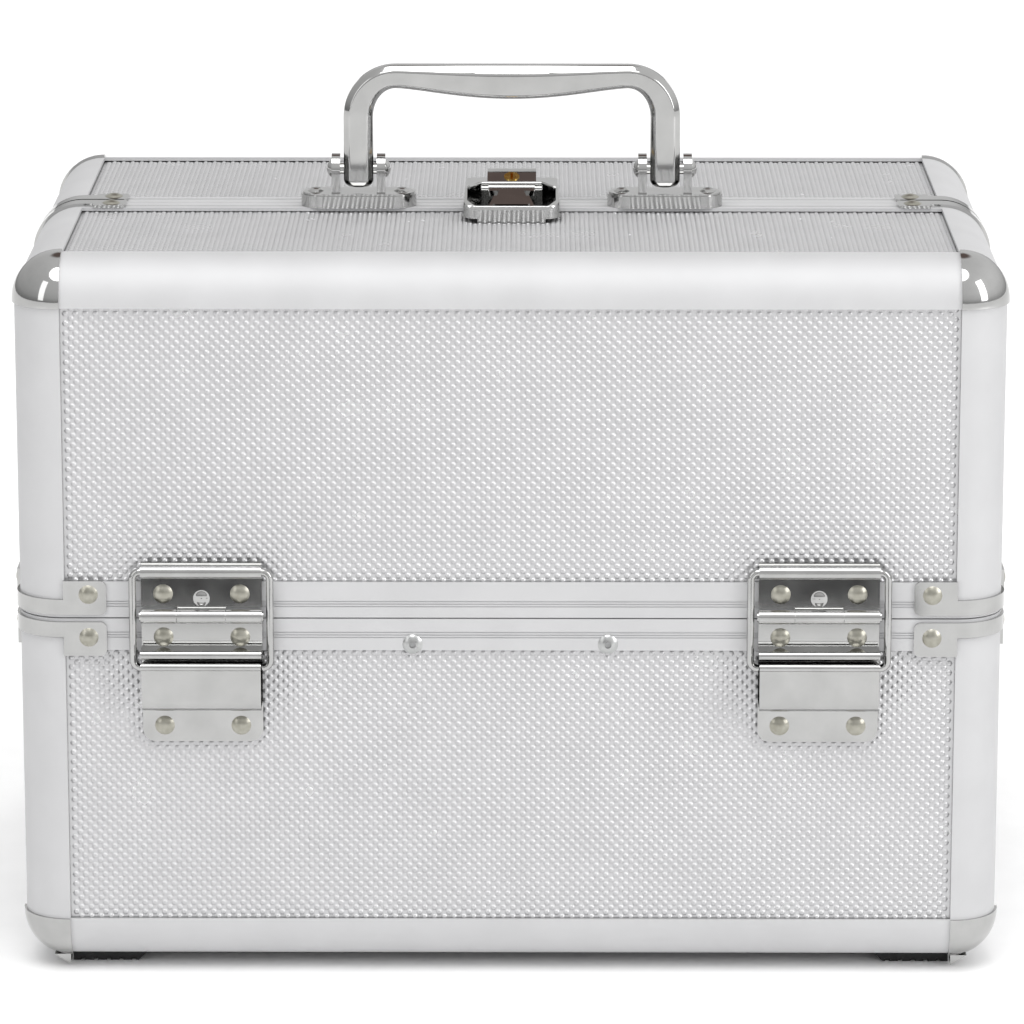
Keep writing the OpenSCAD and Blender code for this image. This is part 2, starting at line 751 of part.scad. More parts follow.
module lock_cutout() {
    translate([-14, -mid_y - lock_case_d - 0.5, top_z - 10]) cube([28, 45, 20]);
}

module bolt_slot() {
    translate([-6.3, -3, top_z - 4.7]) cube([12.6, 10, 2.6]);
}

module front_lid_boards() {
    color("silver") lid_boards() lock_cutout();
}
module front_lid_lining() {
    color("dimgray") lid_lining();
}
module front_lid_rails() {
    color("gainsboro") lid_rails();
}
module front_lid_posts() {
    color("gainsboro") lid_posts();
}
module front_lid_seam_rim() {
    color("gainsboro") lid_seam_rim();
}
module front_lid_middle_trim() {
    color("gainsboro") difference() {
        lid_middle_trim();
        bolt_slot();
    }
}
module front_lid_caps() {
    color("white") lid_caps();
}
module front_lid_brackets() {
    color("white") lid_brackets();
}
module front_lid_rivets() {
    color("tan") lid_rivets();
}
module front_upper_leaves() {
    color("white") at_front_hinges() upper_leaf();
}
module front_link_studs() {
    color("lightgray") both_x() link_stud();
}
module front_ring_stays() {
    color("white") at_front_hinges() ring_stay();
}

module rear_lid_boards() {
    color("silver") mirror([0, 1, 0]) lid_boards() translate([-6.3, -8, top_z - 4.7]) cube([12.6, 16, 2.6]);
}
module rear_lid_lining() {
    color("dimgray") mirror([0, 1, 0]) lid_lining();
}
module rear_lid_rails() {
    color("gainsboro") mirror([0, 1, 0]) lid_rails();
}
module rear_lid_posts() {
    color("gainsboro") mirror([0, 1, 0]) lid_posts();
}
module rear_lid_seam_rim() {
    color("gainsboro") mirror([0, 1, 0]) lid_seam_rim();
}
module rear_lid_middle_trim() {
    color("gainsboro") difference() {
        mirror([0, 1, 0]) lid_middle_trim();
        bolt_slot();
    }
}
module rear_lid_caps() {
    color("white") mirror([0, 1, 0]) lid_caps();
}
module rear_lid_brackets() {
    color("white") mirror([0, 1, 0]) lid_brackets();
}
module rear_lid_rivets() {
    color("tan") mirror([0, 1, 0]) lid_rivets();
}
module rear_upper_leaves() {
    color("white") mirror([0, 1, 0]) at_front_hinges() upper_leaf();
}
module rear_link_studs() {
    color("lightgray") mirror([0, 1, 0]) both_x() link_stud();
}
module rear_ring_stays() {
    color("white") mirror([0, 1, 0]) at_front_hinges() ring_stay();
}

// ---------- handle ----------

handle_leg_x = handle_w / 2 - leg_w / 2;

// Bevelled section of the handle, w wide and d deep.
module bevel_section(w, d) {
    polygon([
        [-w / 2 + bevel, -d / 2], [w / 2 - bevel, -d / 2], [w / 2, -d / 2 + bevel], [w / 2, d / 2 - bevel],
        [w / 2 - bevel, d / 2], [-w / 2 + bevel, d / 2], [-w / 2, d / 2 - bevel], [-w / 2, -d / 2 + bevel]
    ]);
}

module handle_grip() {
    bar_d = leg_d - 0.8;
    z_top = top_z + handle_h;
    z_bar = z_top - bar_h / 2;
    z_pin = top_z + pivot_h;
    bar_x = handle_w / 2 - 0.3 - bar_h / 2;
    bend_x = bar_x - bend_r;
    chord = bend_x - 1;
    arc_r = (chord * chord + belly * belly) / (2 * belly);
    color("white") difference() {
        translate([0, -handle_y, 0]) {
            both_x() translate([-handle_leg_x, 0, z_pin]) linear_extrude(height = z_top - shoulder - z_pin)
                bevel_section(leg_w, leg_d);
            both_x() translate([-handle_leg_x, 0, z_pin]) leg_foot();
            both_x() translate([-bar_x, 0, z_top - shoulder - 3]) linear_extrude(height = z_bar - bend_r - z_top + shoulder + 3)
                bevel_section(bar_h, bar_d);
            both_x() translate([-bend_x, 0, z_bar - bend_r]) rotate([90, 0, 0]) rotate([0, 0, 90])
                rotate_extrude(angle = 90) translate([bend_r, 0]) bevel_section(bar_h, bar_d);
            translate([0, 0, z_bar]) rotate([0, 90, 0]) linear_extrude(height = 2 * bend_x, center = true)
                bevel_section(bar_h, bar_d);
            // belly under the bar, its ends just inside it
            translate([0, 0, z_bar - 0.3 - belly + arc_r]) rotate([90, 0, 0])
                rotate([0, 0, -90 - asin(chord / arc_r)])
                    rotate_extrude(angle = 2 * asin(chord / arc_r), $fn = 240) translate([arc_r, 0])
                        bevel_section(bar_h - 1, bar_d - 0.4);
        }
        both_x() translate([-handle_leg_x, -handle_y, z_pin]) rotate([0, 90, 0])
            cylinder(r = handle_pin_r + run_fit, h = leg_w + 10, center = true);
    }
}

// Rounded lower end of a leg, bevelled like the leg.
module leg_foot() {
    difference() {
        translate([0, 0, -leg_toe]) linear_extrude(height = leg_toe) bevel_section(leg_w, leg_d);
        for (s = [-1, 1]) translate([s * leg_w / 2, 0, -leg_toe]) rotate([0, 45, 0]) cube([3.4, 20, 3.4], center = true);
        for (s = [-1, 1]) translate([0, s * leg_d / 2, -leg_toe]) rotate([45, 0, 0]) cube([20, 3.4, 3.4], center = true);
    }
}

// Base plate with two ears.
module handle_plate() {
    ear_in = leg_w / 2 + ear_gap;
    difference() {
        union() {
            translate([0, 0, top_z]) linear_extrude(height = plate_t - 0.8) rrect(plate_w, plate_d, plate_d / 2 - 0.2);
            translate([0, 0, top_z + plate_t - 0.8 - eps]) linear_extrude(height = 0.8)
                rrect(plate_w - 1.4, plate_d - 1.4, plate_d / 2 - 0.9);
            for (s = [-1, 1]) translate([s * (ear_in + ear_t / 2), 0, 0]) {
                translate([0, 0, top_z + pivot_h]) rotate([0, 90, 0]) cylinder(r = ear_r, h = ear_t, center = true);
                translate([-ear_t / 2, -ear_r, top_z + plate_t - 1]) cube([ear_t, 2 * ear_r, pivot_h - plate_t + 1]);
            }
        }
        translate([0, 0, top_z + pivot_h]) rotate([0, 90, 0]) cylinder(r = handle_pin_r + run_fit, h = 60, center = true);
        for (s = [-1, 1]) translate([s * screw_pitch / 2, 0, top_z - 1]) cylinder(r = stud_r + run_fit, h = 10);
        // slope under the rear edge, clear of the other lid as it swings up
        translate([0, handle_y, top_z]) along_x(plate_w + 2)
            polygon([[-0.4, -1], [-0.4, 0.35], [6, 6.3], [9, 6.3], [9, -1]]);
    }
}

module at_handle_ends() {
    both_x() translate([-handle_leg_x, -handle_y, 0]) children();
}

module handle_plates() {
    color("white") at_handle_ends() handle_plate();
}

module handle_pins() {
    half = leg_w / 2 + ear_gap + ear_t;
    color("white") at_handle_ends() translate([0, 0, top_z + pivot_h]) rotate([0, 90, 0]) {
        cylinder(r = handle_pin_r, h = 2 * half + 0.4, center = true);
        for (s = [-1, 1]) scale([1, 1, s]) translate([0, 0, half + 0.1])
            dome_rivet(2 * handle_pin_r + 3, 2, handle_pin_r - 0.2, 0.01);
    }
}

module handle_screws() {
    color("silver") at_handle_ends() for (s = [-1, 1]) translate([s * screw_pitch / 2, 0, top_z + plate_t - eps]) difference() {
        dome_rivet(6.6, 1.4, stud_r, plate_t - eps);
        translate([-3, -0.4, 0.9]) cube([6, 0.8, 2]);
    }
}

// ---------- lock ----------

lock_back = mid_y + 0.5;
key_d = 7.6;
lever_d = 15.9;

// Side profile of the lock's housing, its back at the origin, the front towards -X.
module lock_profile() {
    polygon([
        [0, 0], [0, lock_h - 1], [-1, lock_h], [-23.5, lock_h], [-lock_d + 2.2, rim_h + 1],
        [-lock_d + 1.1, rim_h], [-lock_d, rim_h - 0.6], [-lock_d, 0]
    ]);
}

// Ramp with the key block, same place as the profile.
module block_profile() {
    rise = lock_h + block_rise;
    polygon([
        [-11.5, lock_h - 0.2], [-11.5, lock_h + 0.1], [-3.7, rise - 0.9], [-3.4, rise],
        [-1.6, rise], [-1, rise - 0.8], [-1, lock_h - 0.2]
    ]);
}

module at_key() {
    tilt = atan((block_rise - 1) / 7.8);
    translate([0, -lock_back - key_d, top_z + lock_h + 0.1 + (11.5 - key_d) * tan(tilt)]) rotate([tilt, 0, 0]) children();
}

module at_lever() {
    translate([0, -lock_back - lever_d, top_z + lever_h]) children();
}

module lock_body() {
    edge_x = 12.2;
    side_x = lock_w / 2 - 2;
    color("white") difference() {
        union() {
            translate([0, -lock_back, top_z]) intersection() {
                along_x(lock_w) lock_profile();
                translate([0, -lock_d / 2, -1]) linear_extrude(height = lock_h + 4) rrect(lock_w, lock_d, 7);
                translate([0, 1, 0]) along_y(lock_d + 2) polygon([
                    [-lock_w / 2, 0], [lock_w / 2, 0], [lock_w / 2 - 0.4, rim_h], [lock_w / 2 - 1.5, lock_h + 1],
                    [-lock_w / 2 + 1.5, lock_h + 1], [-lock_w / 2 + 0.4, rim_h]
                ]);
            }
            translate([0, -lock_back, top_z]) along_x(block_w) block_profile();
            // hidden case below the lid's top, with the bolt's channel
            translate([-13.5, -mid_y - lock_case_d, top_z - 5.2])
                cube([27, lock_case_d - mid_strip_w - 0.3, 5.4]);
        }
        // finger well
        translate([0, -lock_back, top_z + 1.4]) linear_extrude(height = lock_h)
            polygon([
                [-edge_x, -14], [edge_x, -14], [side_x, -24], [side_x, -lock_d + 4.6], [side_x - 3, -lock_d + 1.8],
                [-side_x + 3, -lock_d + 1.8], [-side_x, -lock_d + 4.6], [-side_x, -24]
            ]);
        translate([-6.3, -mid_y - lock_case_d + 2, top_z - 4.7]) cube([12.6, 40, 2.6]);
        at_lever() rotate([0, 90, 0]) cylinder(r = 0.9 + run_fit, h = 24.6, center = true);
        at_key() translate([0, 0, -9.2]) cylinder(r = key_r + run_fit, h = 14);
    }
    // roll along the well's upper edge
    color("white") translate([0, -lock_back - 13.7, top_z + lock_h]) {
        rotate([0, 90, 0]) cylinder(r = 0.7, h = 2 * edge_x, center = true);
        both_x() translate([-edge_x, 0, 0]) {
            sphere(r = 0.7);
            rotate([0, 0, 242]) rotate([0, 90, 0]) cylinder(r = 0.7, h = 10);
        }
    }
}

// Flat shapes of the lever, from its pivot towards -Y.
module lever_base() {
    translate([-9, -3.8]) square([18, 3.8]);
    polygon([[-6.5, -3.6], [6.5, -3.6], [9.3, -15.2], [8.4, -16], [-8.4, -16], [-9.3, -15.2]]);
}

module lock_lever() {
    color("white") at_lever() {
        rotate([0, 90, 0]) cylinder(r = 1.5, h = 18.4, center = true);
        rotate([0, 90, 0]) cylinder(r = 0.9, h = 24, center = true);
        rotate([lever_tilt, 0, 0]) {
            translate([0, 0, -1.4]) linear_extrude(height = 1.2) lever_base();
            translate([0, 0, -0.3]) linear_extrude(height = 1.2) {
                translate([-9, -3.8]) square([18, 3.8]);
                polygon([[-4.9, -3.6], [4.9, -3.6], [7.2, -14.4], [6.6, -15], [-6.6, -15], [-7.2, -14.4]]);
            }
        }
    }
}

module lock_cylinder() {
    color("gold") at_key() difference() {
        translate([0, 0, -9]) cylinder(r = key_r, h = 9.3);
        translate([-0.5, -2.3, -3]) cube([1, 4.6, 4]);
    }
}

module lock_bolt() {
    color("lightgray") translate([-6, -mid_y - lock_case_d + 3, top_z - 4.5]) cube([12, lock_case_d - 5.5, 2.2]);
}

// ---------- trays and arms ----------

// Flat bar of one arm in the Y-Z plane, foot at the origin.
module arm_outline() {
    l = arm_r + arm_step;
    difference() {
        union() {
            circle(r = arm_w / 2);
            translate([-arm_w / 2, 0]) square([arm_w, l]);
            translate([0, l]) circle(r = arm_w / 2);
        }
        for (r = [0, arm_r, l]) translate([0, r]) circle(r = stud_r + run_fit);
        children();
    }
}

// Places a bar of the -X end at foot position u.
module arm_at(u, x) {
    translate([-x - arm_t, pin_y + u, pin_z + arm_foot_v]) rotate([90, 0, 90])
        linear_extrude(height = arm_t) rotate([0, 0, -arm_lean]) children();
}

module arms_outer() {
    both_x() arm_at(arm_foot_u, arm_x) arm_outline();
}

module arms_inner() {
    both_x() {
        arm_at(arm_foot_u + arm_gap, arm_x) arm_outline();
        translate([-arm_x - arm_t, pin_y + arm_foot_u + arm_gap, pin_z + arm_foot_v]) rotate([90, 0, 90])
            rotate([0, 0, -arm_lean]) translate([0, link_arm_r, 0]) mirror([0, 0, 1]) {
                translate([0, 0, -0.4]) cylinder(r = 2.6, h = 2.1);
                cylinder(r = stud_r, h = link_x - arm_x + 0.7);
            }
    }
}

link_du = arm_foot_u + arm_gap + link_arm_r * sin(arm_lean) - link_lid_u;
link_dv = arm_foot_v + link_arm_r * cos(arm_lean) - link_lid_v;
link_l = sqrt(link_du * link_du + link_dv * link_dv);

// Drive link: round hole on the arm's stud, slot on the lid's stud.
module links() {
    both_x() translate([-link_x - arm_t, pin_y + link_lid_u, pin_z + link_lid_v]) rotate([90, 0, 90])
        rotate([0, 0, atan2(link_dv, link_du)]) linear_extrude(height = arm_t) difference() {
            union() {
                translate([-0.4, 0]) circle(r = link_eye);
                translate([link_play, 0]) circle(r = link_eye);
                translate([-0.4, -link_eye]) square([link_play + 0.4, 2 * link_eye]);
                translate([0, -3.8]) square([link_l, 7.6]);
                translate([link_l, 0]) circle(r = 3.8);
            }
            translate([link_l, 0]) circle(r = stud_r + run_fit);
            translate([-0.4, -link_slot]) square([link_play + 0.4, 2 * link_slot]);
            translate([-0.4, 0]) circle(r = link_slot);
            translate([link_play, 0]) circle(r = link_slot);
        }
}

// Moulded tray with rounded corners, rolled rim, finger ledge and dividers.
module tray(n) {
    u0 = tray_u[n];
    w = tray_end_u - u0;
    v0 = tray_v0 + n * arm_step * cos(arm_lean);
    r_pivot = arm_r + n * arm_step;
    x1 = divider_x[n];
    r = 8;
    difference() {
        translate([0, pin_y + u0 + w / 2, pin_z + v0]) difference() {
            union() {
                linear_extrude(height = tray_h) rrect(2 * tray_half, w, r);
            }
            translate([0, 0, tray_t]) linear_extrude(height = tray_h) rrect(2 * (tray_half - tray_t), w - 2 * tray_t, r - tray_t);
        }
        children();
    }
    translate([0, pin_y + u0 + w / 2, pin_z + v0]) {
        for (x = n == 0 ? [-x1, x1] : [-x1, 0, x1])
            translate([x - divider_t / 2, -w / 2 + 1, 1]) cube([divider_t, w - 2, tray_h - divider_drop]);
        for (x = [-tray_half + 1, x1])
            translate([x, cross_y[n], 1]) cube([tray_half - 1 - x1, divider_t, tray_h - cross_drop]);
    }
    both_x() for (u = [arm_foot_u, arm_foot_u + arm_gap])
        translate([-tray_half + 0.5, pin_y + u + r_pivot * sin(arm_lean), pin_z + arm_foot_v + r_pivot * cos(arm_lean)])
            rotate([0, -90, 0]) {
                cylinder(r = 3.6, h = arm_x - tray_half + 0.2);
                cylinder(r = stud_r, h = arm_x + arm_t - tray_half + 1.1);
                translate([0, 0, arm_x + arm_t - tray_half + 0.8]) cylinder(r = 2.6, h = 0.8);
            }
}

module front_arms_outer() {
    color("lightgray") arms_outer();
}
module front_arms_inner() {
    color("lightgray") arms_inner();
}
module front_links() {
    color("lightgray") links();
}
module front_lower_tray() {
    color("black") tray(0);
}
module front_upper_tray() {
    color("black") tray(1);
}
module rear_arms_outer() {
    color("lightgray") mirror([0, 1, 0]) arms_outer();
}
module rear_arms_inner() {
    color("lightgray") mirror([0, 1, 0]) arms_inner();
}
module rear_links() {
    color("lightgray") mirror([0, 1, 0]) links();
}
module rear_lower_tray() {
    color("black") mirror([0, 1, 0]) tray(0);
}
module rear_upper_tray() {
    color("black") mirror([0, 1, 0]) tray(1);
}

base_wall_boards();
base_floor_board();
base_lining();
base_edge_rails();
base_corner_posts();
base_seam_rim();
base_corner_caps();
base_seam_brackets();
base_bracket_rivets();
lower_hinge_leaves();
lower_hinge_rivets();
hinge_pins();
pop_rivets();
feet();
arm_foot_plates();
front_lid_boards();
front_lid_lining();
front_lid_rails();
front_lid_posts();
front_lid_seam_rim();
front_lid_middle_trim();
front_lid_caps();
front_lid_brackets();
front_lid_rivets();
front_upper_leaves();
front_link_studs();
front_ring_stays();
rear_lid_boards();
rear_lid_lining();
rear_lid_rails();
rear_lid_posts();
rear_lid_seam_rim();
rear_lid_middle_trim();
rear_lid_caps();
rear_lid_brackets();
rear_lid_rivets();
rear_upper_leaves();
rear_link_studs();
rear_ring_stays();
handle_grip();
handle_plates();
handle_pins();
handle_screws();
lock_body();
lock_lever();
lock_cylinder();
lock_bolt();
front_arms_outer();
front_arms_inner();
front_links();
front_lower_tray();
front_upper_tray();
rear_arms_outer();
rear_arms_inner();
rear_links();
rear_lower_tray();
rear_upper_tray();
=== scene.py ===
import json
import math

import bmesh
import bpy
import numpy as np
from bpy.props import FloatProperty, FloatVectorProperty, PointerProperty
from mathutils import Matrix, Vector


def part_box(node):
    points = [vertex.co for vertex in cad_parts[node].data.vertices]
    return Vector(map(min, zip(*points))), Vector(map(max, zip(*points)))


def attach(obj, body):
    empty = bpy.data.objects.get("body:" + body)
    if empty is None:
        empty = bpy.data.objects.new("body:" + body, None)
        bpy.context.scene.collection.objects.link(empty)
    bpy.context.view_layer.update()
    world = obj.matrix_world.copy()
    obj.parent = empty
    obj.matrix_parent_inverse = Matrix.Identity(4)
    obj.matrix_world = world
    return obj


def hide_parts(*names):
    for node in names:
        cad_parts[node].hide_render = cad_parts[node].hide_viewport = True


bl_info = {
    "name": "Makeup Train Case",
    "version": (1, 0, 0),
    "blender": (4, 5, 0),
    "location": "View3D > Sidebar > Train Case",
    "description": "Dresses the makeup train case: embossed boards, metal edges, hardware, trays and studio",
    "category": "Object",
}

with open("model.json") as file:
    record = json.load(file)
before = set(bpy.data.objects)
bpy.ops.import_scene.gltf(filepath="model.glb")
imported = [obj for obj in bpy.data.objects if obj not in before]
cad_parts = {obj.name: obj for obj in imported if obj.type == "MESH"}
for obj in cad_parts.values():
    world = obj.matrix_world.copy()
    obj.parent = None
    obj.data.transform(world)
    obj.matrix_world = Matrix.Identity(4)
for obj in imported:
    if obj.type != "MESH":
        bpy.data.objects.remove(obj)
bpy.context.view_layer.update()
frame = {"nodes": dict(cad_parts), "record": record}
NODES = frame["nodes"]
BODY_OF = {
    node: body
    for body, members in frame["record"]["behaviour"]["bodies"].items()
    for node in members
}
SLOT_OF = {row["node"]: row["material_slot"] for row in frame["record"]["subparts"]}

MM = 0.001


# ---------- colours and materials ----------


def linear(hex_colour):
    """Linear RGBA of an sRGB hex string."""
    values = [int(hex_colour[i : i + 2], 16) / 255 for i in (0, 2, 4)]
    return tuple(v / 12.92 if v <= 0.04045 else ((v + 0.055) / 1.055) ** 2.4 for v in values) + (1.0,)


def add_node(tree, kind, settings=None, inputs=None, links=None):
    """Adds one shader node with its attributes (settings), socket values (inputs) and incoming links."""
    made = tree.nodes.new(kind)
    for key, value in (settings or {}).items():
        setattr(made, key, value)
    for key, value in (inputs or {}).items():
        made.inputs[key].default_value = value
    for key, source in (links or {}).items():
        tree.links.new(source, made.inputs[key])
    return made


def new_material(name, base, metallic, roughness, **sockets):
    """A Principled material with its uniform values on the shader's own sockets."""
    material = bpy.data.materials.new(name)
    material.use_nodes = True
    tree = material.node_tree
    shader = tree.nodes["Principled BSDF"]
    shader.inputs["Base Color"].default_value = linear(base)
    shader.inputs["Metallic"].default_value = metallic
    shader.inputs["Roughness"].default_value = roughness
    for key, value in sockets.items():
        shader.inputs[key.replace("_", " ")].default_value = value
    return material, tree, shader


NOISE_DETAIL = 3.0


def mottle(tree, shader, dark, light, scale, low, high, stretch=(1, 1, 1)):
    """Lets noise vary the colour between two linear colours and the roughness between two numbers.

    The noise has about `scale` patches in a metre, which `stretch` multiplies along X, Y and Z.
    """
    coords = add_node(tree, "ShaderNodeTexCoord")
    place = add_node(
        tree, "ShaderNodeMapping", inputs={"Scale": stretch}, links={"Vector": coords.outputs["Object"]}
    )
    noise = add_node(
        tree,
        "ShaderNodeTexNoise",
        inputs={"Scale": scale, "Detail": NOISE_DETAIL},
        links={"Vector": place.outputs["Vector"]},
    )
    colour = add_node(tree, "ShaderNodeValToRGB", links={"Fac": noise.outputs["Fac"]})
    colour.color_ramp.elements[0].position = 0.3
    colour.color_ramp.elements[0].color = dark
    colour.color_ramp.elements[1].position = 0.7
    colour.color_ramp.elements[1].color = light
    rough = add_node(
        tree,
        "ShaderNodeMapRange",
        inputs={"To Min": low, "To Max": high},
        links={"Value": noise.outputs["Fac"]},
    )
    tree.links.new(colour.outputs["Color"], shader.inputs["Base Color"])
    tree.links.new(rough.outputs["Result"], shader.inputs["Roughness"])
    return noise


def relief(tree, shader, height, strength, distance):
    """Bumps the surface by a height socket: strength 0 to 1, distance in metres."""
    bump = add_node(
        tree, "ShaderNodeBump", inputs={"Strength": strength, "Distance": distance}, links={"Height": height}
    )
    tree.links.new(bump.outputs["Normal"], shader.inputs["Normal"])


def make_embossed_abs():
    # metallised ABS sheet, vacuum formed: a silver film under a thin clear skin, soft bright highlights
    colours = bpy.context.scene.case_colours
    material, tree, shader = new_material(
        "Embossed_Silver_ABS", "C2C2C3", 0.6, 0.26, Coat_Weight=0.2, Coat_Roughness=0.15
    )
    mottle(tree, shader, colours.board_dark, colours.board_light, 60.0, 0.24, 0.29)
    return material


def make_edge_aluminium():
    # satin anodised extrusion: fine even grain with a broad soft highlight
    colours = bpy.context.scene.case_colours
    material, tree, shader = new_material("Satin_Anodised_Aluminium", "C6C6C7", 0.35, 0.62)
    mottle(tree, shader, colours.edge_dark, colours.edge_light, 45.0, 0.6, 0.65)
    return material


def make_chrome():
    # bright nickel-chrome plate on pressed steel and zinc castings, near mirror with faint polishing haze
    material, tree, shader = new_material("Chrome_Plate", "B3B3B2", 1.0, 0.08)
    mottle(tree, shader, linear("AEAEAD"), linear("B8B8B7"), 90.0, 0.05, 0.1)
    return material


def make_rivet_nickel():
    # nickel plated rivet heads, slightly warmer and softer than the chrome
    material, tree, shader = new_material("Nickel_Rivet", "A4A298", 1.0, 0.3)
    noise = mottle(tree, shader, linear("99978C"), linear("AFADA3"), 350.0, 0.25, 0.36)
    relief(tree, shader, noise.outputs["Fac"], 0.08, 0.00004)
    return material


def make_zinc_steel():
    # bright zinc plated strip steel, satin with a faint rolling grain
    material, tree, shader = new_material("Zinc_Plated_Steel", "B3B4B4", 1.0, 0.28)
    noise = mottle(tree, shader, linear("ABACAC"), linear("BBBCBB"), 260.0, 0.22, 0.36, stretch=(1, 6, 1))
    relief(tree, shader, noise.outputs["Fac"], 0.06, 0.00005)
    return material


def make_brass():
    # turned brass of the key cylinder, warm and bright
    material, tree, shader = new_material("Turned_Brass", "E0B85A", 1.0, 0.18)
    noise = mottle(tree, shader, linear("CFA347"), linear("EBCB78"), 600.0, 0.14, 0.26)
    relief(tree, shader, noise.outputs["Fac"], 0.06, 0.00003)
    return material


def make_foot_rubber():
    # black moulded rubber, matt with a dusty bloom
    material, tree, shader = new_material("Black_Rubber", "161617", 0.0, 0.6)
    noise = mottle(tree, shader, linear("101011"), linear("1D1D1E"), 220.0, 0.52, 0.7)
    relief(tree, shader, noise.outputs["Fac"], 0.2, 0.0001)
    return material


def make_tray_abs():
    # black injection moulded ABS with a fine spark-eroded grain
    colours = bpy.context.scene.case_colours
    material, tree, shader = new_material("Black_Grained_ABS", "202124", 0.0, 0.45)
    noise = mottle(tree, shader, colours.tray_dark, colours.tray_light, 180.0, 0.4, 0.52)
    coords = add_node(tree, "ShaderNodeTexCoord")
    grain = add_node(
        tree, "ShaderNodeTexVoronoi", inputs={"Scale": 1400.0}, links={"Vector": coords.outputs["Object"]}
    )
    relief(tree, shader, grain.outputs["Distance"], 0.35, 0.0001)
    return material


THREAD = 0.8 * MM
# a wave texture of scale s has 20 s / (2 pi) bands in a metre, one for each thread
WEAVE_SCALE = 2 * math.pi / 20 / THREAD


def make_lining_cloth():
    # black woven nylon lining glued to card: threads 0.8 mm apart, a little sheen
    colours = bpy.context.scene.case_colours
    material, tree, shader = new_material("Black_Woven_Nylon", "1D1D20", 0.0, 0.75, Sheen_Weight=0.35)
    mottle(tree, shader, colours.lining_dark, colours.lining_light, 90.0, 0.7, 0.85)
    coords = add_node(tree, "ShaderNodeTexCoord")
    waves = [
        add_node(
            tree,
            "ShaderNodeTexWave",
            {"wave_type": "BANDS", "bands_direction": axis},
            {"Scale": WEAVE_SCALE},
            {"Vector": coords.outputs["Object"]},
        )
        for axis in "XYZ"
    ]
    first = add_node(
        tree,
        "ShaderNodeMath",
        {"operation": "ADD"},
        links={0: waves[0].outputs["Fac"], 1: waves[1].outputs["Fac"]},
    )
    weave = add_node(
        tree,
        "ShaderNodeMath",
        {"operation": "ADD"},
        links={0: first.outputs[0], 1: waves[2].outputs["Fac"]},
    )
    relief(tree, shader, weave.outputs[0], 0.4, 0.0002)
    return material


MAKERS = {
    "embossed_abs": make_embossed_abs,
    "edge_aluminium": make_edge_aluminium,
    "chrome_plate": make_chrome,
    "rivet_nickel": make_rivet_nickel,
    "zinc_steel": make_zinc_steel,
    "key_brass": make_brass,
    "foot_rubber": make_foot_rubber,
    "tray_plastic": make_tray_abs,
    "lining": make_lining_cloth,
}
# the materials made so far
finishes = {}


def finish_for(slot_name):
    """The material of a record slot, made once."""
    if slot_name not in finishes:
        finishes[slot_name] = MAKERS[slot_name]()
    return finishes[slot_name]


# ---------- meshes ----------


def object_from(name, verts, faces, smooth=True):
    """A mesh object at the origin from numpy vertices and a list of faces."""
    mesh = bpy.data.meshes.new(name)
    mesh.from_pydata(np.asarray(verts).tolist(), [], [list(f) for f in faces])
    mesh.update()
    mesh.polygons.foreach_set("use_smooth", [smooth] * len(mesh.polygons))
    made = bpy.data.objects.new(name, mesh)
    bpy.context.scene.collection.objects.link(made)
    return made


def dress(made, node):
    """Puts a new piece in the place of a CAD node, with that node's body, slot and finish."""
    made.data.materials.clear()
    made.data.materials.append(finish_for(SLOT_OF[node]))
    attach(made, BODY_OF[node])
    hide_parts(node)


def lowest_label(labels, left, right):
    """Spreads the lowest label over pairs that touch, until each connected group has one label."""
    while True:
        low = np.minimum(labels[left], labels[right])
        after = labels.copy()
        np.minimum.at(after, left, low)
        np.minimum.at(after, right, low)
        after = after[after]
        if np.array_equal(after, labels):
            return labels
        labels = after


# faces that meet at less than FLAT degrees form one patch, and at SHARP degrees or more a sharp edge
FLAT = 0.6
SHARP = 32.0
# points closer than this are one
JOIN = 0.001 * MM
# a doubled face area in square mm, or a sum of normals, up to SLIVER counts as none
SLIVER = 1e-9
# keeps a division away from zero
TINY = 1e-12


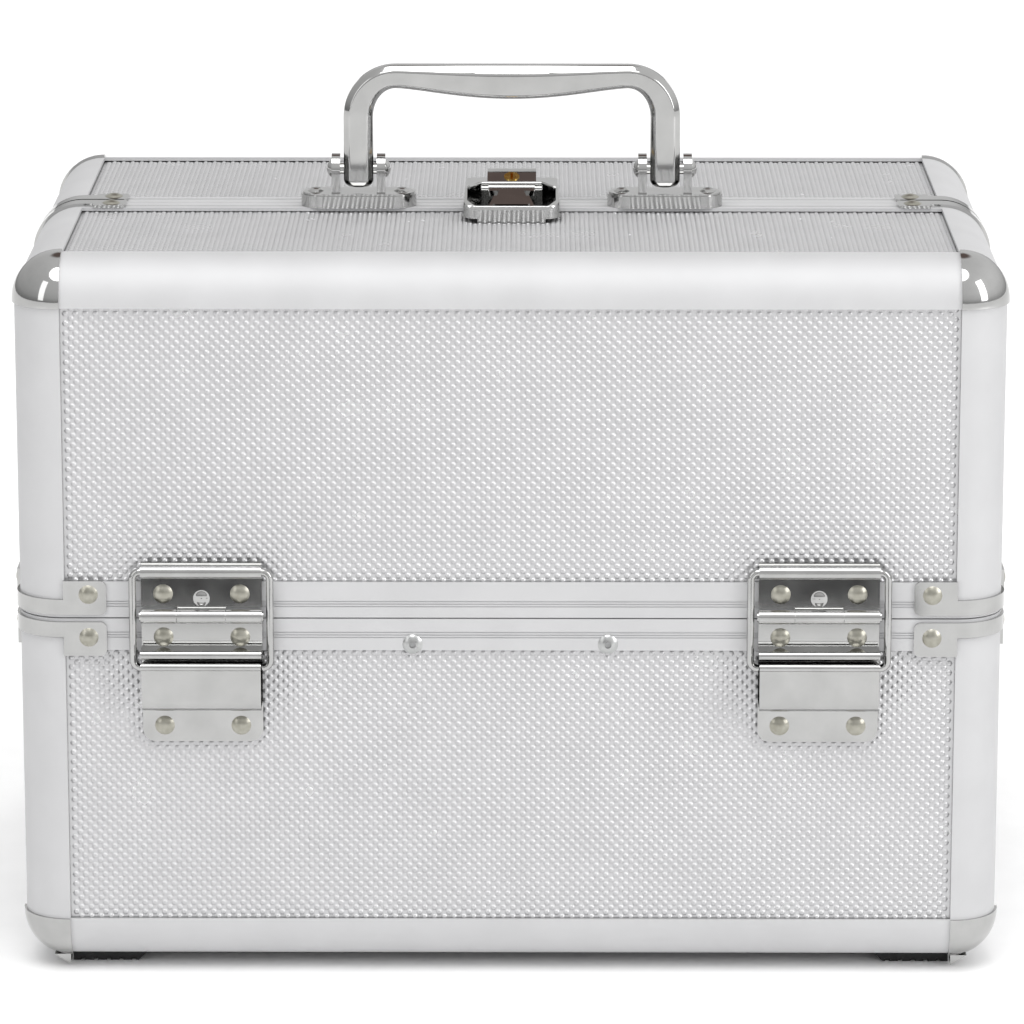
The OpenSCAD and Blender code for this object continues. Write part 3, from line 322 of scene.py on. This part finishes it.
def patch_normals(mesh):
    """Corner normals of a triangle mesh, each face weighted by the flat patch that it belongs to.

    A corner's normal is the sum of the normals of the faces round it that no sharp edge parts from it,
    each times its patch's area and its own corner angle. So a flat face stays flat where a rounded edge
    runs into it.
    """
    verts = np.empty(len(mesh.vertices) * 3, np.float32)
    mesh.vertices.foreach_get("co", verts)
    verts = verts.reshape(-1, 3).astype(float) / MM
    tris = np.empty(len(mesh.loops), np.int32)
    mesh.loops.foreach_get("vertex_index", tris)
    tris = tris.reshape(-1, 3)
    count = len(tris)
    corners = verts[tris]
    cross = np.cross(corners[:, 1] - corners[:, 0], corners[:, 2] - corners[:, 0])
    size = np.linalg.norm(cross, axis=1)
    normals = cross / np.maximum(size, TINY)[:, None]
    # each edge's two faces, found by sorting the half edges
    starts, ends = tris, np.roll(tris, -1, axis=1)
    key = np.minimum(starts, ends).astype(np.int64) * len(verts) + np.maximum(starts, ends)
    order = np.argsort(key, axis=None, kind="stable")
    flat_key = key.ravel()[order]
    same = np.nonzero(flat_key[1:] == flat_key[:-1])[0]
    one, two = order[same], order[same + 1]
    face_one, face_two = one // 3, two // 3
    bend = np.degrees(np.arccos(np.clip((normals[face_one] * normals[face_two]).sum(axis=1), -1, 1)))
    solid = size > SLIVER
    flat = (bend < FLAT) & solid[face_one] & solid[face_two]
    patch = lowest_label(np.arange(count), face_one[flat], face_two[flat])
    patch_area = np.bincount(patch, weights=size, minlength=count)[patch]
    # corners of one vertex on both sides of a soft edge belong together
    soft = bend < SHARP
    one, two, face_one, face_two = one[soft], two[soft], face_one[soft], face_two[soft]
    next_one = face_one * 3 + (one - face_one * 3 + 1) % 3
    next_two = face_two * 3 + (two - face_two * 3 + 1) % 3
    all_corners = tris.ravel()
    turned = all_corners[one] == all_corners[next_two]
    other_start = np.where(turned, next_two, two)
    other_end = np.where(turned, two, next_two)
    group = lowest_label(
        np.arange(count * 3), np.concatenate([one, next_one]), np.concatenate([other_start, other_end])
    )
    sides = corners[:, [1, 2, 0]] - corners
    sides /= np.maximum(np.linalg.norm(sides, axis=2), TINY)[..., None]
    angle = np.arccos(np.clip(-(sides * np.roll(sides, 1, axis=1)).sum(axis=2), -1, 1))
    weight = angle * patch_area[:, None]
    pull = (normals[:, None] * weight[..., None]).reshape(-1, 3)
    total = np.stack(
        [np.bincount(group, weights=pull[:, axis], minlength=count * 3) for axis in range(3)], axis=1
    )
    result = total[group]
    length = np.linalg.norm(result, axis=1)
    own = np.repeat(normals, 3, axis=0)
    return np.where(length[:, None] > SLIVER, result / np.maximum(length, TINY)[:, None], own)


def soften(made):
    """Joins a mesh's equal points, cuts it into triangles and shades it smooth except along sharp edges."""
    mesh = made.data
    work = bmesh.new()
    work.from_mesh(mesh)
    bmesh.ops.remove_doubles(work, verts=work.verts, dist=JOIN)
    bmesh.ops.triangulate(work, faces=work.faces)
    work.to_mesh(mesh)
    work.free()
    mesh.polygons.foreach_set("use_smooth", [True] * len(mesh.polygons))
    mesh.normals_split_custom_set(patch_normals(mesh).tolist())


def smoothed_copy(node):
    """A copy of a CAD node, softened, in that node's place."""
    made = bpy.data.objects.new("smooth_" + node, NODES[node].data.copy())
    bpy.context.scene.collection.objects.link(made)
    soften(made)
    dress(made, node)


def finish_cad(*nodes):
    """Gives carried-over CAD nodes their material."""
    for node in nodes:
        data = NODES[node].data
        data.materials.clear()
        data.materials.append(finish_for(SLOT_OF[node]))


# the bumps of even rows stand this far along their step, and those of odd rows this much further
FIRST_BUMP, ROW_SHIFT = 0.27, 0.46
# a bump stays its radius away from a board's left and right edges, and this share of it from the others
END_SHARE = 0.7
# a bump is two rings of points and its top: the rings' shares of the radius
RIM_RING, MIDDLE_RING = 1.0, 0.62
SIDES = 6
POINTS = 2 * SIDES + 1
# a bump's rim is sunk into the board, and its top lies a hair behind the CAD board's face
RIM_SINK, FACE_GAP = 0.02 * MM, 0.03 * MM


def bump_points(rise, radius):
    """One bump's points, rim first: its height is its rise times (1 - r squared), r running from 0 to 1."""
    turn = np.arange(SIDES) * np.pi / 3
    share = np.concatenate([np.full(SIDES, RIM_RING), np.full(SIDES, MIDDLE_RING), [0.0]])
    ring = np.stack([np.append(np.tile(f(turn), 2), 0.0) for f in (np.cos, np.sin)], axis=1)
    lift = rise * (1 - share**2) - np.where(share == RIM_RING, RIM_SINK, 0.0)
    return np.column_stack([ring * (share[:, None] * radius), lift - rise - FACE_GAP])


def bump_faces():
    """One bump's faces: a band of quads, a cap of triangles and the closed underside."""
    pairs = [(k, (k + 1) % SIDES) for k in range(SIDES)]
    band = [[a, b, b + SIDES, a + SIDES] for a, b in pairs]
    cap = [[a + SIDES, b + SIDES, 2 * SIDES] for a, b in pairs]
    return band + cap + [list(range(SIDES))[::-1]]


def bump_middles(width, height, radius, sizes):
    """The bumps' middles on a board, in rows that are staggered by about half a step."""
    columns = max(1, round(width / (sizes.emboss_pitch * MM)))
    rows = max(1, round(height / (sizes.emboss_row * MM)))
    row, column = (a.ravel() for a in np.meshgrid(np.arange(rows), np.arange(columns), indexing="ij"))
    mid_u = (column + FIRST_BUMP + ROW_SHIFT * (row % 2)) * (width / columns)
    mid_v = (row + 0.5) * (height / rows)
    end = radius * END_SHARE
    keep = (mid_u > radius) & (mid_u < width - radius) & (mid_v > end) & (mid_v < height - end)
    return mid_u[keep], mid_v[keep]


def board_outline(width, height, notch):
    """The board's corners, counter-clockwise.

    A notch is given by its half width, the edge it opens to (top or bottom) and its depth.
    """
    outline = [(0, 0), (width, 0), (width, height), (0, height)]
    if not notch:
        return outline
    half, edge, depth = notch
    v_open, v_shut = (height, height - depth) if edge == "top" else (0.0, depth)
    left, right = width / 2 - half, width / 2 + half
    mouth = [(left, v_open), (left, v_shut), (right, v_shut), (right, v_open)]
    if edge == "top":
        return outline[:3] + mouth[::-1] + outline[3:]
    return outline[:1] + mouth + outline[1:]


def embossed_slab(name, origin, across, up, width, height, sizes, notch=None):
    """A board that lies between its across and up directions, with bumps on its outer face.

    The outer face looks along the cross product of the two directions. No bump stands in the notch.
    """
    rise, radius = sizes.emboss_depth * MM, sizes.emboss_radius * MM
    mid_u, mid_v = bump_middles(width, height, radius, sizes)
    if notch:
        half, edge, depth = notch
        near_u = np.abs(mid_u - width / 2) < half + radius
        near_v = np.abs(mid_v - (height if edge == "top" else 0.0)) < depth + radius
        clear = ~(near_u & near_v)
        mid_u, mid_v = mid_u[clear], mid_v[clear]
    middles = np.column_stack([mid_u, mid_v, np.zeros_like(mid_u)])
    bumps = (middles[:, None] + bump_points(rise, radius)[None]).reshape(-1, 3)
    outline = board_outline(width, height, notch)
    count = len(outline)
    board = np.array([[u, v, w] for w in (-sizes.board_thickness * MM, -rise) for u, v in outline])
    axes = np.array([across, up, np.cross(across, up)], float)
    verts = np.asarray(origin, float) + np.vstack([board, bumps]) @ axes
    faces = [list(range(count))[::-1], list(range(count, 2 * count))]
    faces += [[k, (k + 1) % count, (k + 1) % count + count, k + count] for k in range(count)]
    starts = (2 * count + POINTS * np.arange(len(mid_u)))[:, None]
    for face in bump_faces():
        faces += (starts + np.array(face)[None]).tolist()
    made = object_from(name, verts, faces)
    # the edges of the board and the rim of each bump are sharp, the bump itself is round
    mesh = made.data
    ends = np.empty(len(mesh.edges) * 2, np.int32)
    mesh.edges.foreach_get("vertices", ends)
    hard = np.concatenate([np.ones(2 * count, bool), np.tile(np.arange(POINTS) < SIDES, len(mid_u))])
    sharp = hard[ends.reshape(-1, 2)].all(axis=1)
    mesh.attributes.new("sharp_edge", "BOOLEAN", "EDGE").data.foreach_set("value", sharp)
    return made


# the round toe of a handle leg: its size, and its points' heights and insets as shares of that size
TOE = 2.4 * MM
TOE_RISE = np.array([0.0, 0.12, 0.5, 1.0, 1.3])
TOE_INSET = np.array([1.0, 0.72, 0.3, 0.04, 0.0])
# the straight leg ends this far below the bend
LEG_END = 3 * MM
# points round a bend and along half the bar
BEND_POINTS, BAR_POINTS = 25, 30
# the bar is this much slimmer than a leg, on its front and on its back
BAR_SLIMMER = 0.4 * MM
# what the bevel over the bar's middle gains, and the share of it that is left under the bar
BELLY_BEVEL, INNER_BEVEL = 1.6 * MM, 0.6
# a bevel takes up no more than this share of half the bar's depth
BEVEL_LIMIT = 0.6
# every edge of a bevel is rounded this far to both sides, in five points
EDGE_ROUND = 0.7 * MM
ROUND_STEPS = np.array([0.0, 0.25, 0.5, 0.75, 1.0])


def handle_lines(sizes):
    """The left half of the handle, from the toe of the leg to the middle of the bar.

    The outer line goes up the leg, round a circular bend and along the top. The inner line goes up the
    leg, round an elliptical bend and along the bar, where it drops by (1 - t squared) to the power 1.5
    times the belly, t being the share of the way from the middle to the bend. Half the depth and the
    outer and inner bevels follow for each point of the lines.
    """
    lo, hi = (np.array(c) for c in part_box("handle_grip"))
    half, top, bottom, deep = hi[0], hi[2], lo[2], hi[1] - lo[1]
    leg, bar, bend = sizes.handle_leg * MM, sizes.handle_bar * MM, sizes.handle_bend * MM
    bevel = sizes.handle_bevel * MM
    centre = np.array([-half + bend, top - bend])
    rise = np.append(bottom + TOE_RISE * TOE, top - bend - LEG_END)
    inset = np.append(TOE_INSET * TOE, 0.0)
    turn = np.linspace(0, np.pi / 2, BEND_POINTS)
    along = np.linspace(centre[0], 0, BAR_POINTS + 1)[1:]
    fall = (1 - (along / centre[0]) ** 2) ** 1.5
    outer = np.vstack(
        [
            np.stack([-half + inset, rise], axis=1),
            centre + bend * np.stack([-np.cos(turn), np.sin(turn)], axis=1),
            np.stack([along, np.full_like(along, top)], axis=1),
        ]
    )
    inner = np.vstack(
        [
            np.stack([-half + leg - inset, rise], axis=1),
            centre + np.stack([-(bend - leg) * np.cos(turn), (bend - bar) * np.sin(turn)], axis=1),
            np.stack([along, top - bar - sizes.handle_belly * MM * fall], axis=1),
        ]
    )
    leg_count, bar_count = len(rise), len(along)
    bend_thin = deep / 2 - BAR_SLIMMER * np.linspace(0, 1, BEND_POINTS)
    thin = np.concatenate([deep / 2 - inset, bend_thin, np.full(bar_count, deep / 2 - BAR_SLIMMER)])
    cut_out = np.concatenate([np.full(leg_count + BEND_POINTS, bevel), bevel + BELLY_BEVEL * fall])
    bend_cut = bevel * np.linspace(1, INNER_BEVEL, BEND_POINTS)
    cut_in = np.concatenate([np.full(leg_count, bevel), bend_cut, np.full(bar_count, INNER_BEVEL * bevel)])
    return outer, inner, thin, cut_out, cut_in


def bevelled_rings(width, thin, cut_out, cut_in, bevel):
    """Rings from the inner line (0) to the outer one (width), each an oblong with four bevelled corners.

    Each edge of a bevel is rounded by the parabola (1 - s) squared times its first point, plus 2 s (1 - s)
    times the edge, plus s squared times its last point.
    """
    cut_y = np.minimum(bevel, thin * BEVEL_LIMIT)
    zero = np.zeros_like(width)
    slope = width - cut_out
    edge_n = np.stack([zero, cut_in, slope, width, width, slope, cut_in, zero], axis=1)
    flank = thin - cut_y
    edge_y = np.stack([-flank, -thin, -thin, -flank, flank, thin, thin, flank], axis=1)
    edges = np.stack([edge_n, edge_y], axis=2)
    to_last = np.roll(edges, 1, axis=1) - edges
    to_next = np.roll(edges, -1, axis=1) - edges
    first = edges + EDGE_ROUND * to_last / np.linalg.norm(to_last, axis=2, keepdims=True)
    last = edges + EDGE_ROUND * to_next / np.linalg.norm(to_next, axis=2, keepdims=True)
    s = ROUND_STEPS[None, None, :, None]
    first, middle, last = first[:, :, None], edges[:, :, None], last[:, :, None]
    ring = (1 - s) ** 2 * first + 2 * s * (1 - s) * middle + s**2 * last
    return ring.reshape(len(width), -1, 2)


def handle_surface(name, sizes):
    """The carrying handle as one drawn bar: rings carried from one toe to the other, with closed ends."""
    lo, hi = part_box("handle_grip")
    middle_y = (lo[1] + hi[1]) / 2
    outer, inner, thin, cut_out, cut_in = handle_lines(sizes)
    # the right half is the left one mirrored
    outer = np.vstack([outer, outer[-2::-1] * [-1, 1]])
    inner = np.vstack([inner, inner[-2::-1] * [-1, 1]])
    thin, cut_out, cut_in = (np.concatenate([a, a[-2::-1]]) for a in (thin, cut_out, cut_in))
    span = outer - inner
    width = np.linalg.norm(span, axis=1)
    ring = bevelled_rings(width, thin, cut_out, cut_in, sizes.handle_bevel * MM)
    place = inner[:, None] + ring[..., :1] * (span / width[:, None])[:, None]
    verts = np.stack([place[..., 0], middle_y + ring[..., 1], place[..., 1]], axis=2).reshape(-1, 3)
    index = np.arange(len(verts)).reshape(len(width), -1)
    after = np.roll(index, -1, axis=1)
    loops = (index[:-1], index[1:], after[1:], after[:-1])
    faces = np.stack([loop.ravel() for loop in loops], axis=1).tolist()
    faces += [index[0].tolist(), index[-1, ::-1].tolist()]
    return object_from(name, verts, faces)


# ---------- sizes and colours a user may change ----------


class CaseSizes(bpy.types.PropertyGroup):
    """Sizes of the boards and of the handle"""

    emboss_pitch: FloatProperty(
        name="Emboss pitch", description="Step between bumps in a row, mm", default=3.84, min=2.0, max=8.0
    )
    emboss_row: FloatProperty(
        name="Emboss row", description="Distance between rows of bumps, mm", default=1.9, min=1.0, max=5.0
    )
    emboss_depth: FloatProperty(
        name="Emboss depth", description="Height of a bump, mm", default=0.7, min=0.1, max=1.0
    )
    emboss_radius: FloatProperty(
        name="Emboss radius", description="Radius of a bump at its foot, mm", default=1.28, min=0.5, max=1.34
    )
    board_thickness: FloatProperty(
        name="Board", description="Thickness of the boards, mm", default=4.1, min=2.0, max=6.0
    )
    handle_leg: FloatProperty(
        name="Handle leg", description="Width of a handle leg, mm", default=11.8, min=8.0, max=13.0
    )
    handle_bar: FloatProperty(
        name="Handle bar", description="Height of the bar at its ends, mm", default=9.4, min=7.0, max=12.0
    )
    handle_bend: FloatProperty(
        name="Handle bend", description="Outer radius of the bends, mm", default=20.8, min=16.0, max=26.0
    )
    handle_bevel: FloatProperty(
        name="Handle bevel", description="Bevel of the handle's edges, mm", default=2.3, min=1.0, max=3.0
    )
    handle_belly: FloatProperty(
        name="Handle belly", description="How far the bar bulges down, mm", default=4.3, min=0.0, max=6.0
    )
    lip: FloatProperty(
        name="Lip", description="How far the boards reach under the edges, mm", default=1.3, min=0.5, max=3.0
    )


def colour_property(name, description, hex_colour):
    """A colour that a user may change."""
    return FloatVectorProperty(
        name=name,
        description=description,
        default=linear(hex_colour),
        size=4,
        min=0.0,
        max=1.0,
        subtype="COLOR",
    )


class FinishColours(bpy.types.PropertyGroup):
    """Colours of the boards, the edges, the trays and the lining"""

    board_dark: colour_property("Board, dark", "Darker tone of the embossed boards", "C0C0C1")
    board_light: colour_property("Board, light", "Lighter tone of the embossed boards", "C5C5C6")
    edge_dark: colour_property("Edge, dark", "Darker tone of the aluminium edges", "C4C4C5")
    edge_light: colour_property("Edge, light", "Lighter tone of the aluminium edges", "C9C9CA")
    tray_dark: colour_property("Tray, dark", "Darker tone of the trays", "1B1C1E")
    tray_light: colour_property("Tray, light", "Lighter tone of the trays", "27282B")
    lining_dark: colour_property("Lining, dark", "Darker tone of the linings", "17171A")
    lining_light: colour_property("Lining, light", "Lighter tone of the linings", "26262A")


class StudioSettings(bpy.types.PropertyGroup):
    """Strength of the light in the studio"""

    key_power: FloatProperty(
        name="Key light", description="Strength of the silk overhead, W/m2", default=1.35, min=0.0
    )
    side_power: FloatProperty(
        name="Side lights", description="Power of the right softbox, W", default=12.0, min=0.0, unit="POWER"
    )
    room_light: FloatProperty(name="Room light", description="Brightness of the room", default=1.0, min=0.0)


# ---------- operators ----------


# how far inside the case's corners the visible part of a board ends
CORNER_INSET = 18 * MM
X, Y, Z = np.eye(3)
# the lock's opening in the front lid's top: its half width, and where its front edge lies
LOCK_HALF, LOCK_FRONT = 14 * MM, -33.75 * MM
# the bolt's slot in the rear lid's top: its half width, and where its blind end lies
BOLT_HALF, BOLT_END = 6.3 * MM, 7 * MM


class CASE_OT_boards(bpy.types.Operator):
    """Makes the embossed boards of the lower case and of both half lids"""

    bl_idname = "traincase.boards"
    bl_label = "Embossed boards"

    def execute(self, context):
        sizes = context.scene.case_sizes
        for node, label in (
            ("base_wall_boards", "lower"),
            ("front_lid_boards", "front_lid"),
            ("rear_lid_boards", "rear_lid"),
        ):

            def slab(side, origin, across, up, width, height, notch=None):
                name = f"{label}_{side}_board"
                dress(embossed_slab(name, origin, across, up, width, height, sizes, notch), node)

            lo, hi = (np.array(corner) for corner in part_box(node))
            reach = sizes.lip * MM - CORNER_INSET
            x, y = hi[0], max(hi[1], -lo[1])
            wide, corner = 2 * (x + reach), y + reach
            z0, z1 = lo[2], hi[2] + (0.0 if label == "lower" else reach)
            y0 = lo[1] if label == "rear_lid" else -corner
            y1 = hi[1] if label == "front_lid" else corner
            tall, deep = z1 - z0, y1 - y0
            if label != "rear_lid":
                slab("front", (-wide / 2, -y, z0), X, Z, wide, tall)
            if label != "front_lid":
                slab("back", (wide / 2, y, z0), -X, Z, wide, tall)
            slab("left", (-x, y1, z0), -Y, Z, deep, tall)
            slab("right", (x, y0, z0), Y, Z, deep, tall)
            if label == "rear_lid":
                slab("top", (-wide / 2, y0, hi[2]), X, Y, wide, deep, (BOLT_HALF, "bottom", BOLT_END - y0))
            if label == "front_lid":
                slab("top", (-wide / 2, y0, hi[2]), X, Y, wide, deep, (LOCK_HALF, "top", y1 - LOCK_FRONT))
        finish_cad("base_floor_board")
        return {"FINISHED"}


class CASE_OT_edges(bpy.types.Operator):
    """Finishes the anodised edge extrusions, posts, seam rims and seam trims"""

    bl_idname = "traincase.edges"
    bl_label = "Metal edges"

    def execute(self, context):
        for node, slot_name in SLOT_OF.items():
            if slot_name == "edge_aluminium":
                smoothed_copy(node)
        return {"FINISHED"}


class CASE_OT_hardware(bpy.types.Operator):
    """Finishes the chrome hardware, rivets, lock, handle and steel arms"""

    bl_idname = "traincase.hardware"
    bl_label = "Hardware"

    def execute(self, context):
        metals = ("chrome_plate", "rivet_nickel", "zinc_steel", "key_brass")
        for node, slot_name in SLOT_OF.items():
            if slot_name in metals and node != "handle_grip":
                smoothed_copy(node)
        handle = handle_surface("carrying_handle", context.scene.case_sizes)
        soften(handle)
        dress(handle, "handle_grip")
        return {"FINISHED"}


class CASE_OT_inside(bpy.types.Operator):
    """Finishes the linings, trays and feet"""

    bl_idname = "traincase.inside"
    bl_label = "Linings, trays and feet"

    def execute(self, context):
        for node, slot_name in SLOT_OF.items():
            if slot_name in ("tray_plastic", "foot_rubber"):
                smoothed_copy(node)
            if slot_name == "lining":
                finish_cad(node)
        return {"FINISHED"}


# ---------- studio: metres, unless said otherwise ----------

# focal length in mm, angles in degrees, shift as a share of the picture's width
CAMERA = {
    "lens": 185.16,
    "pitch": 13.089,
    "yaw": 0.291,
    "place": (0.0106, -2.0761, 0.6736),
    "shift": -0.0801,
}
FLOOR_REACH = 12.0
# the silk overhead: how wide it spreads, in degrees, and which way it shines
SILK_SPREAD, SILK_AIM = 36, (0.06, 0.4, -1.0)
# the softboxes: the left one's share of the power, each one's width and place, their height and target
LEFT_SHARE = 0.35
LEFT_WIDTH, LEFT_PLACE = 0.5, (-1.5, -1.5, 1.1)
RIGHT_WIDTH, RIGHT_PLACE = 0.6, (1.7, -1.2, 1.1)
BOX_HEIGHT, BOX_TARGET = 1.6, (0, 0, 0.15)
# the cards on the floor: the middle of each to its side, half the width, both ends, and the height
CARD_MIDDLE, CARD_HALF, CARD_ENDS, CARD_LIFT = 0.155, 0.042, (-0.80, -0.655), 0.001
# the room's shades from the horizon (0) to overhead (1)
ROOM_SHADES = ((0.0, "A6A6A6"), (0.1, "DADADA"), (0.24, "EDEDED"), (0.45, "F4F4F4"), (1.0, "F4F4F4"))
# brightness of the walls on the left and on the right
LEFT_WALL, RIGHT_WALL = 0.72, 1.22
# the doorway: its direction, its colour, and the radii in degrees where its soft edge starts and ends
DOORWAY_AIM, DOORWAY_COLOUR, DOORWAY_RADII = (0.0, 0.656, 0.755), "786A65", (10, 17)


def aimed(made, direction):
    """Turns a light so that it shines in a direction, and links it."""
    made.rotation_euler = Vector(direction).to_track_quat("-Z", "Y").to_euler()
    bpy.context.scene.collection.objects.link(made)


def soft_box(name, power, width, location):
    """A soft upright light aimed at the case."""
    data = bpy.data.lights.new(name, "AREA")
    data.shape = "RECTANGLE"
    data.size, data.size_y = width, BOX_HEIGHT
    data.energy = power
    made = bpy.data.objects.new(name, data)
    made.location = location
    aimed(made, np.array(BOX_TARGET) - np.array(location))


def flat_sheet(name, x0, x1, y0, y1, z, material):
    """A level sheet of the stage."""
    corners = np.array([[x0, y0, z], [x1, y0, z], [x1, y1, z], [x0, y1, z]])
    made = object_from(name, corners, [[0, 1, 2, 3]], smooth=False)
    made.data.materials.append(material)
    return made


def make_paper():
    # matt white studio paper with a very faint fibre
    material, tree, shader = new_material("Studio_Paper", "F6F6F6", 0.0, 0.9)
    mottle(tree, shader, linear("F4F4F4"), linear("F8F8F8"), 30.0, 0.85, 0.95)
    return material


def make_black_card():
    # matt black card
    material, tree, shader = new_material("Black_Card", "0C0C0D", 0.0, 0.8)
    mottle(tree, shader, linear("0A0A0B"), linear("101011"), 60.0, 0.75, 0.9)
    return material


def lay_cards():
    """Two black cards on the floor ahead of the hinges, as something dark for the flat chrome to mirror."""
    material = make_black_card()
    for side, middle in (("left", -CARD_MIDDLE), ("right", CARD_MIDDLE)):
        card = flat_sheet(
            "black_card_" + side, middle - CARD_HALF, middle + CARD_HALF, *CARD_ENDS, CARD_LIFT, material
        )
        # the card is there for reflections only: it casts no shadow and isn't in the picture itself
        card.visible_camera = card.visible_diffuse = card.visible_shadow = False


def make_room(strength):
    """A studio room: dim walls low down, pale further up, with a brownish doorway high behind the case."""
    world = bpy.data.worlds.new("Studio_World")
    world.use_nodes = True
    tree = world.node_tree
    background = tree.nodes["Background"]
    coords = add_node(tree, "ShaderNodeTexCoord")
    parts = add_node(tree, "ShaderNodeSeparateXYZ", links={"Vector": coords.outputs["Generated"]})
    # the arc sine of the height gives even steps of elevation: 0 at the horizon, 1 overhead
    climb = add_node(tree, "ShaderNodeMath", {"operation": "ARCSINE"}, links={0: parts.outputs["Z"]})
    level = add_node(
        tree,
        "ShaderNodeMapRange",
        inputs={"From Min": 0.0, "From Max": math.pi / 2},
        links={"Value": climb.outputs[0]},
    )
    shade = add_node(tree, "ShaderNodeValToRGB", links={"Fac": level.outputs["Result"]})
    ramp = shade.color_ramp
    first, *between, last = ROOM_SHADES
    for element, (position, colour) in zip(ramp.elements, (first, last)):
        element.position, element.color = position, linear(colour)
    for position, colour in between:
        ramp.elements.new(position).color = linear(colour)
    # the doorway is what the sloping lever and the key block mirror
    aim = Vector(DOORWAY_AIM).normalized()
    near = add_node(
        tree,
        "ShaderNodeVectorMath",
        {"operation": "DOT_PRODUCT"},
        {1: aim},
        {0: coords.outputs["Generated"]},
    )
    inside, outside = (math.cos(math.radians(radius)) for radius in DOORWAY_RADII)
    edge = add_node(
        tree,
        "ShaderNodeMapRange",
        {"interpolation_type": "SMOOTHSTEP"},
        {"From Min": outside, "From Max": inside, "To Min": 1.0, "To Max": 0.0},
        {"Value": near.outputs["Value"]},
    )
    # the wall on the right is paler than the one on the left
    tilt = add_node(
        tree,
        "ShaderNodeMapRange",
        inputs={
            "From Min": -1.0,
            "From Max": 1.0,
            "To Min": LEFT_WALL * strength,
            "To Max": RIGHT_WALL * strength,
        },
        links={"Value": parts.outputs["X"]},
    )
    tree.links.new(tilt.outputs["Result"], background.inputs["Strength"])
    # sockets 0, 6 and 7 of a colour mix are its factor and its two colours, and output 2 is the colour
    doorway = add_node(
        tree,
        "ShaderNodeMix",
        {"data_type": "RGBA"},
        {6: linear(DOORWAY_COLOUR)},
        {0: edge.outputs["Result"], 7: shade.outputs["Color"]},
    )
    tree.links.new(doorway.outputs[2], background.inputs["Color"])
    return world


def make_camera():
    """The camera, with a long lens that looks down a little."""
    data = bpy.data.cameras.new("case_camera")
    data.sensor_fit = "HORIZONTAL"
    data.sensor_width = 36.0
    data.lens = CAMERA["lens"]
    data.clip_start, data.clip_end = 0.05, 60.0
    data.shift_y = CAMERA["shift"]
    camera = bpy.data.objects.new("case_camera", data)
    camera.location = CAMERA["place"]
    camera.rotation_euler = (math.radians(90 - CAMERA["pitch"]), 0.0, math.radians(CAMERA["yaw"]))
    bpy.context.scene.collection.objects.link(camera)
    return camera


class CASE_OT_stage(bpy.types.Operator):
    """Makes the floor, the lights and the camera"""

    bl_idname = "traincase.stage"
    bl_label = "Stage"

    def execute(self, context):
        scene = context.scene
        studio = scene.case_studio
        edge = FLOOR_REACH
        flat_sheet("studio_floor", -edge, edge, -edge, edge, 0.0, make_paper())
        scene.world = make_room(studio.room_light)
        sun = bpy.data.lights.new("overhead_silk", "SUN")
        sun.energy = studio.key_power
        sun.angle = math.radians(SILK_SPREAD)
        aimed(bpy.data.objects.new("overhead_silk", sun), SILK_AIM)
        soft_box("left_softbox", studio.side_power * LEFT_SHARE, LEFT_WIDTH, LEFT_PLACE)
        soft_box("right_softbox", studio.side_power, RIGHT_WIDTH, RIGHT_PLACE)
        lay_cards()
        scene.camera = make_camera()
        scene.view_settings.view_transform = "Standard"
        return {"FINISHED"}


class CASE_PT_panel(bpy.types.Panel):
    """Lists the case's operators, sizes, colours and lights"""

    bl_label = "Train Case"
    bl_idname = "CASE_PT_panel"
    bl_space_type = "VIEW_3D"
    bl_region_type = "UI"
    bl_category = "Train Case"

    def draw(self, context):
        column = self.layout.column(align=True)
        for operator in OPERATORS:
            column.operator(operator.bl_idname)
        scene = context.scene
        for group in (scene.case_sizes, scene.case_colours, scene.case_studio):
            box = self.layout.box()
            for key in group.bl_rna.properties.keys():
                if key not in ("rna_type", "name"):
                    box.prop(group, key)


OPERATORS = (CASE_OT_boards, CASE_OT_edges, CASE_OT_hardware, CASE_OT_inside, CASE_OT_stage)
CLASSES = (CaseSizes, FinishColours, StudioSettings, *OPERATORS, CASE_PT_panel)


def register():
    for cls in CLASSES:
        bpy.utils.register_class(cls)
    bpy.types.Scene.case_sizes = PointerProperty(type=CaseSizes)
    bpy.types.Scene.case_colours = PointerProperty(type=FinishColours)
    bpy.types.Scene.case_studio = PointerProperty(type=StudioSettings)


def unregister():
    del bpy.types.Scene.case_sizes
    del bpy.types.Scene.case_colours
    del bpy.types.Scene.case_studio
    for cls in reversed(CLASSES):
        bpy.utils.unregister_class(cls)


def main():
    register()
    bpy.ops.traincase.boards()
    bpy.ops.traincase.edges()
    bpy.ops.traincase.hardware()
    bpy.ops.traincase.inside()
    bpy.ops.traincase.stage()


if __name__ == "__main__":
    main()
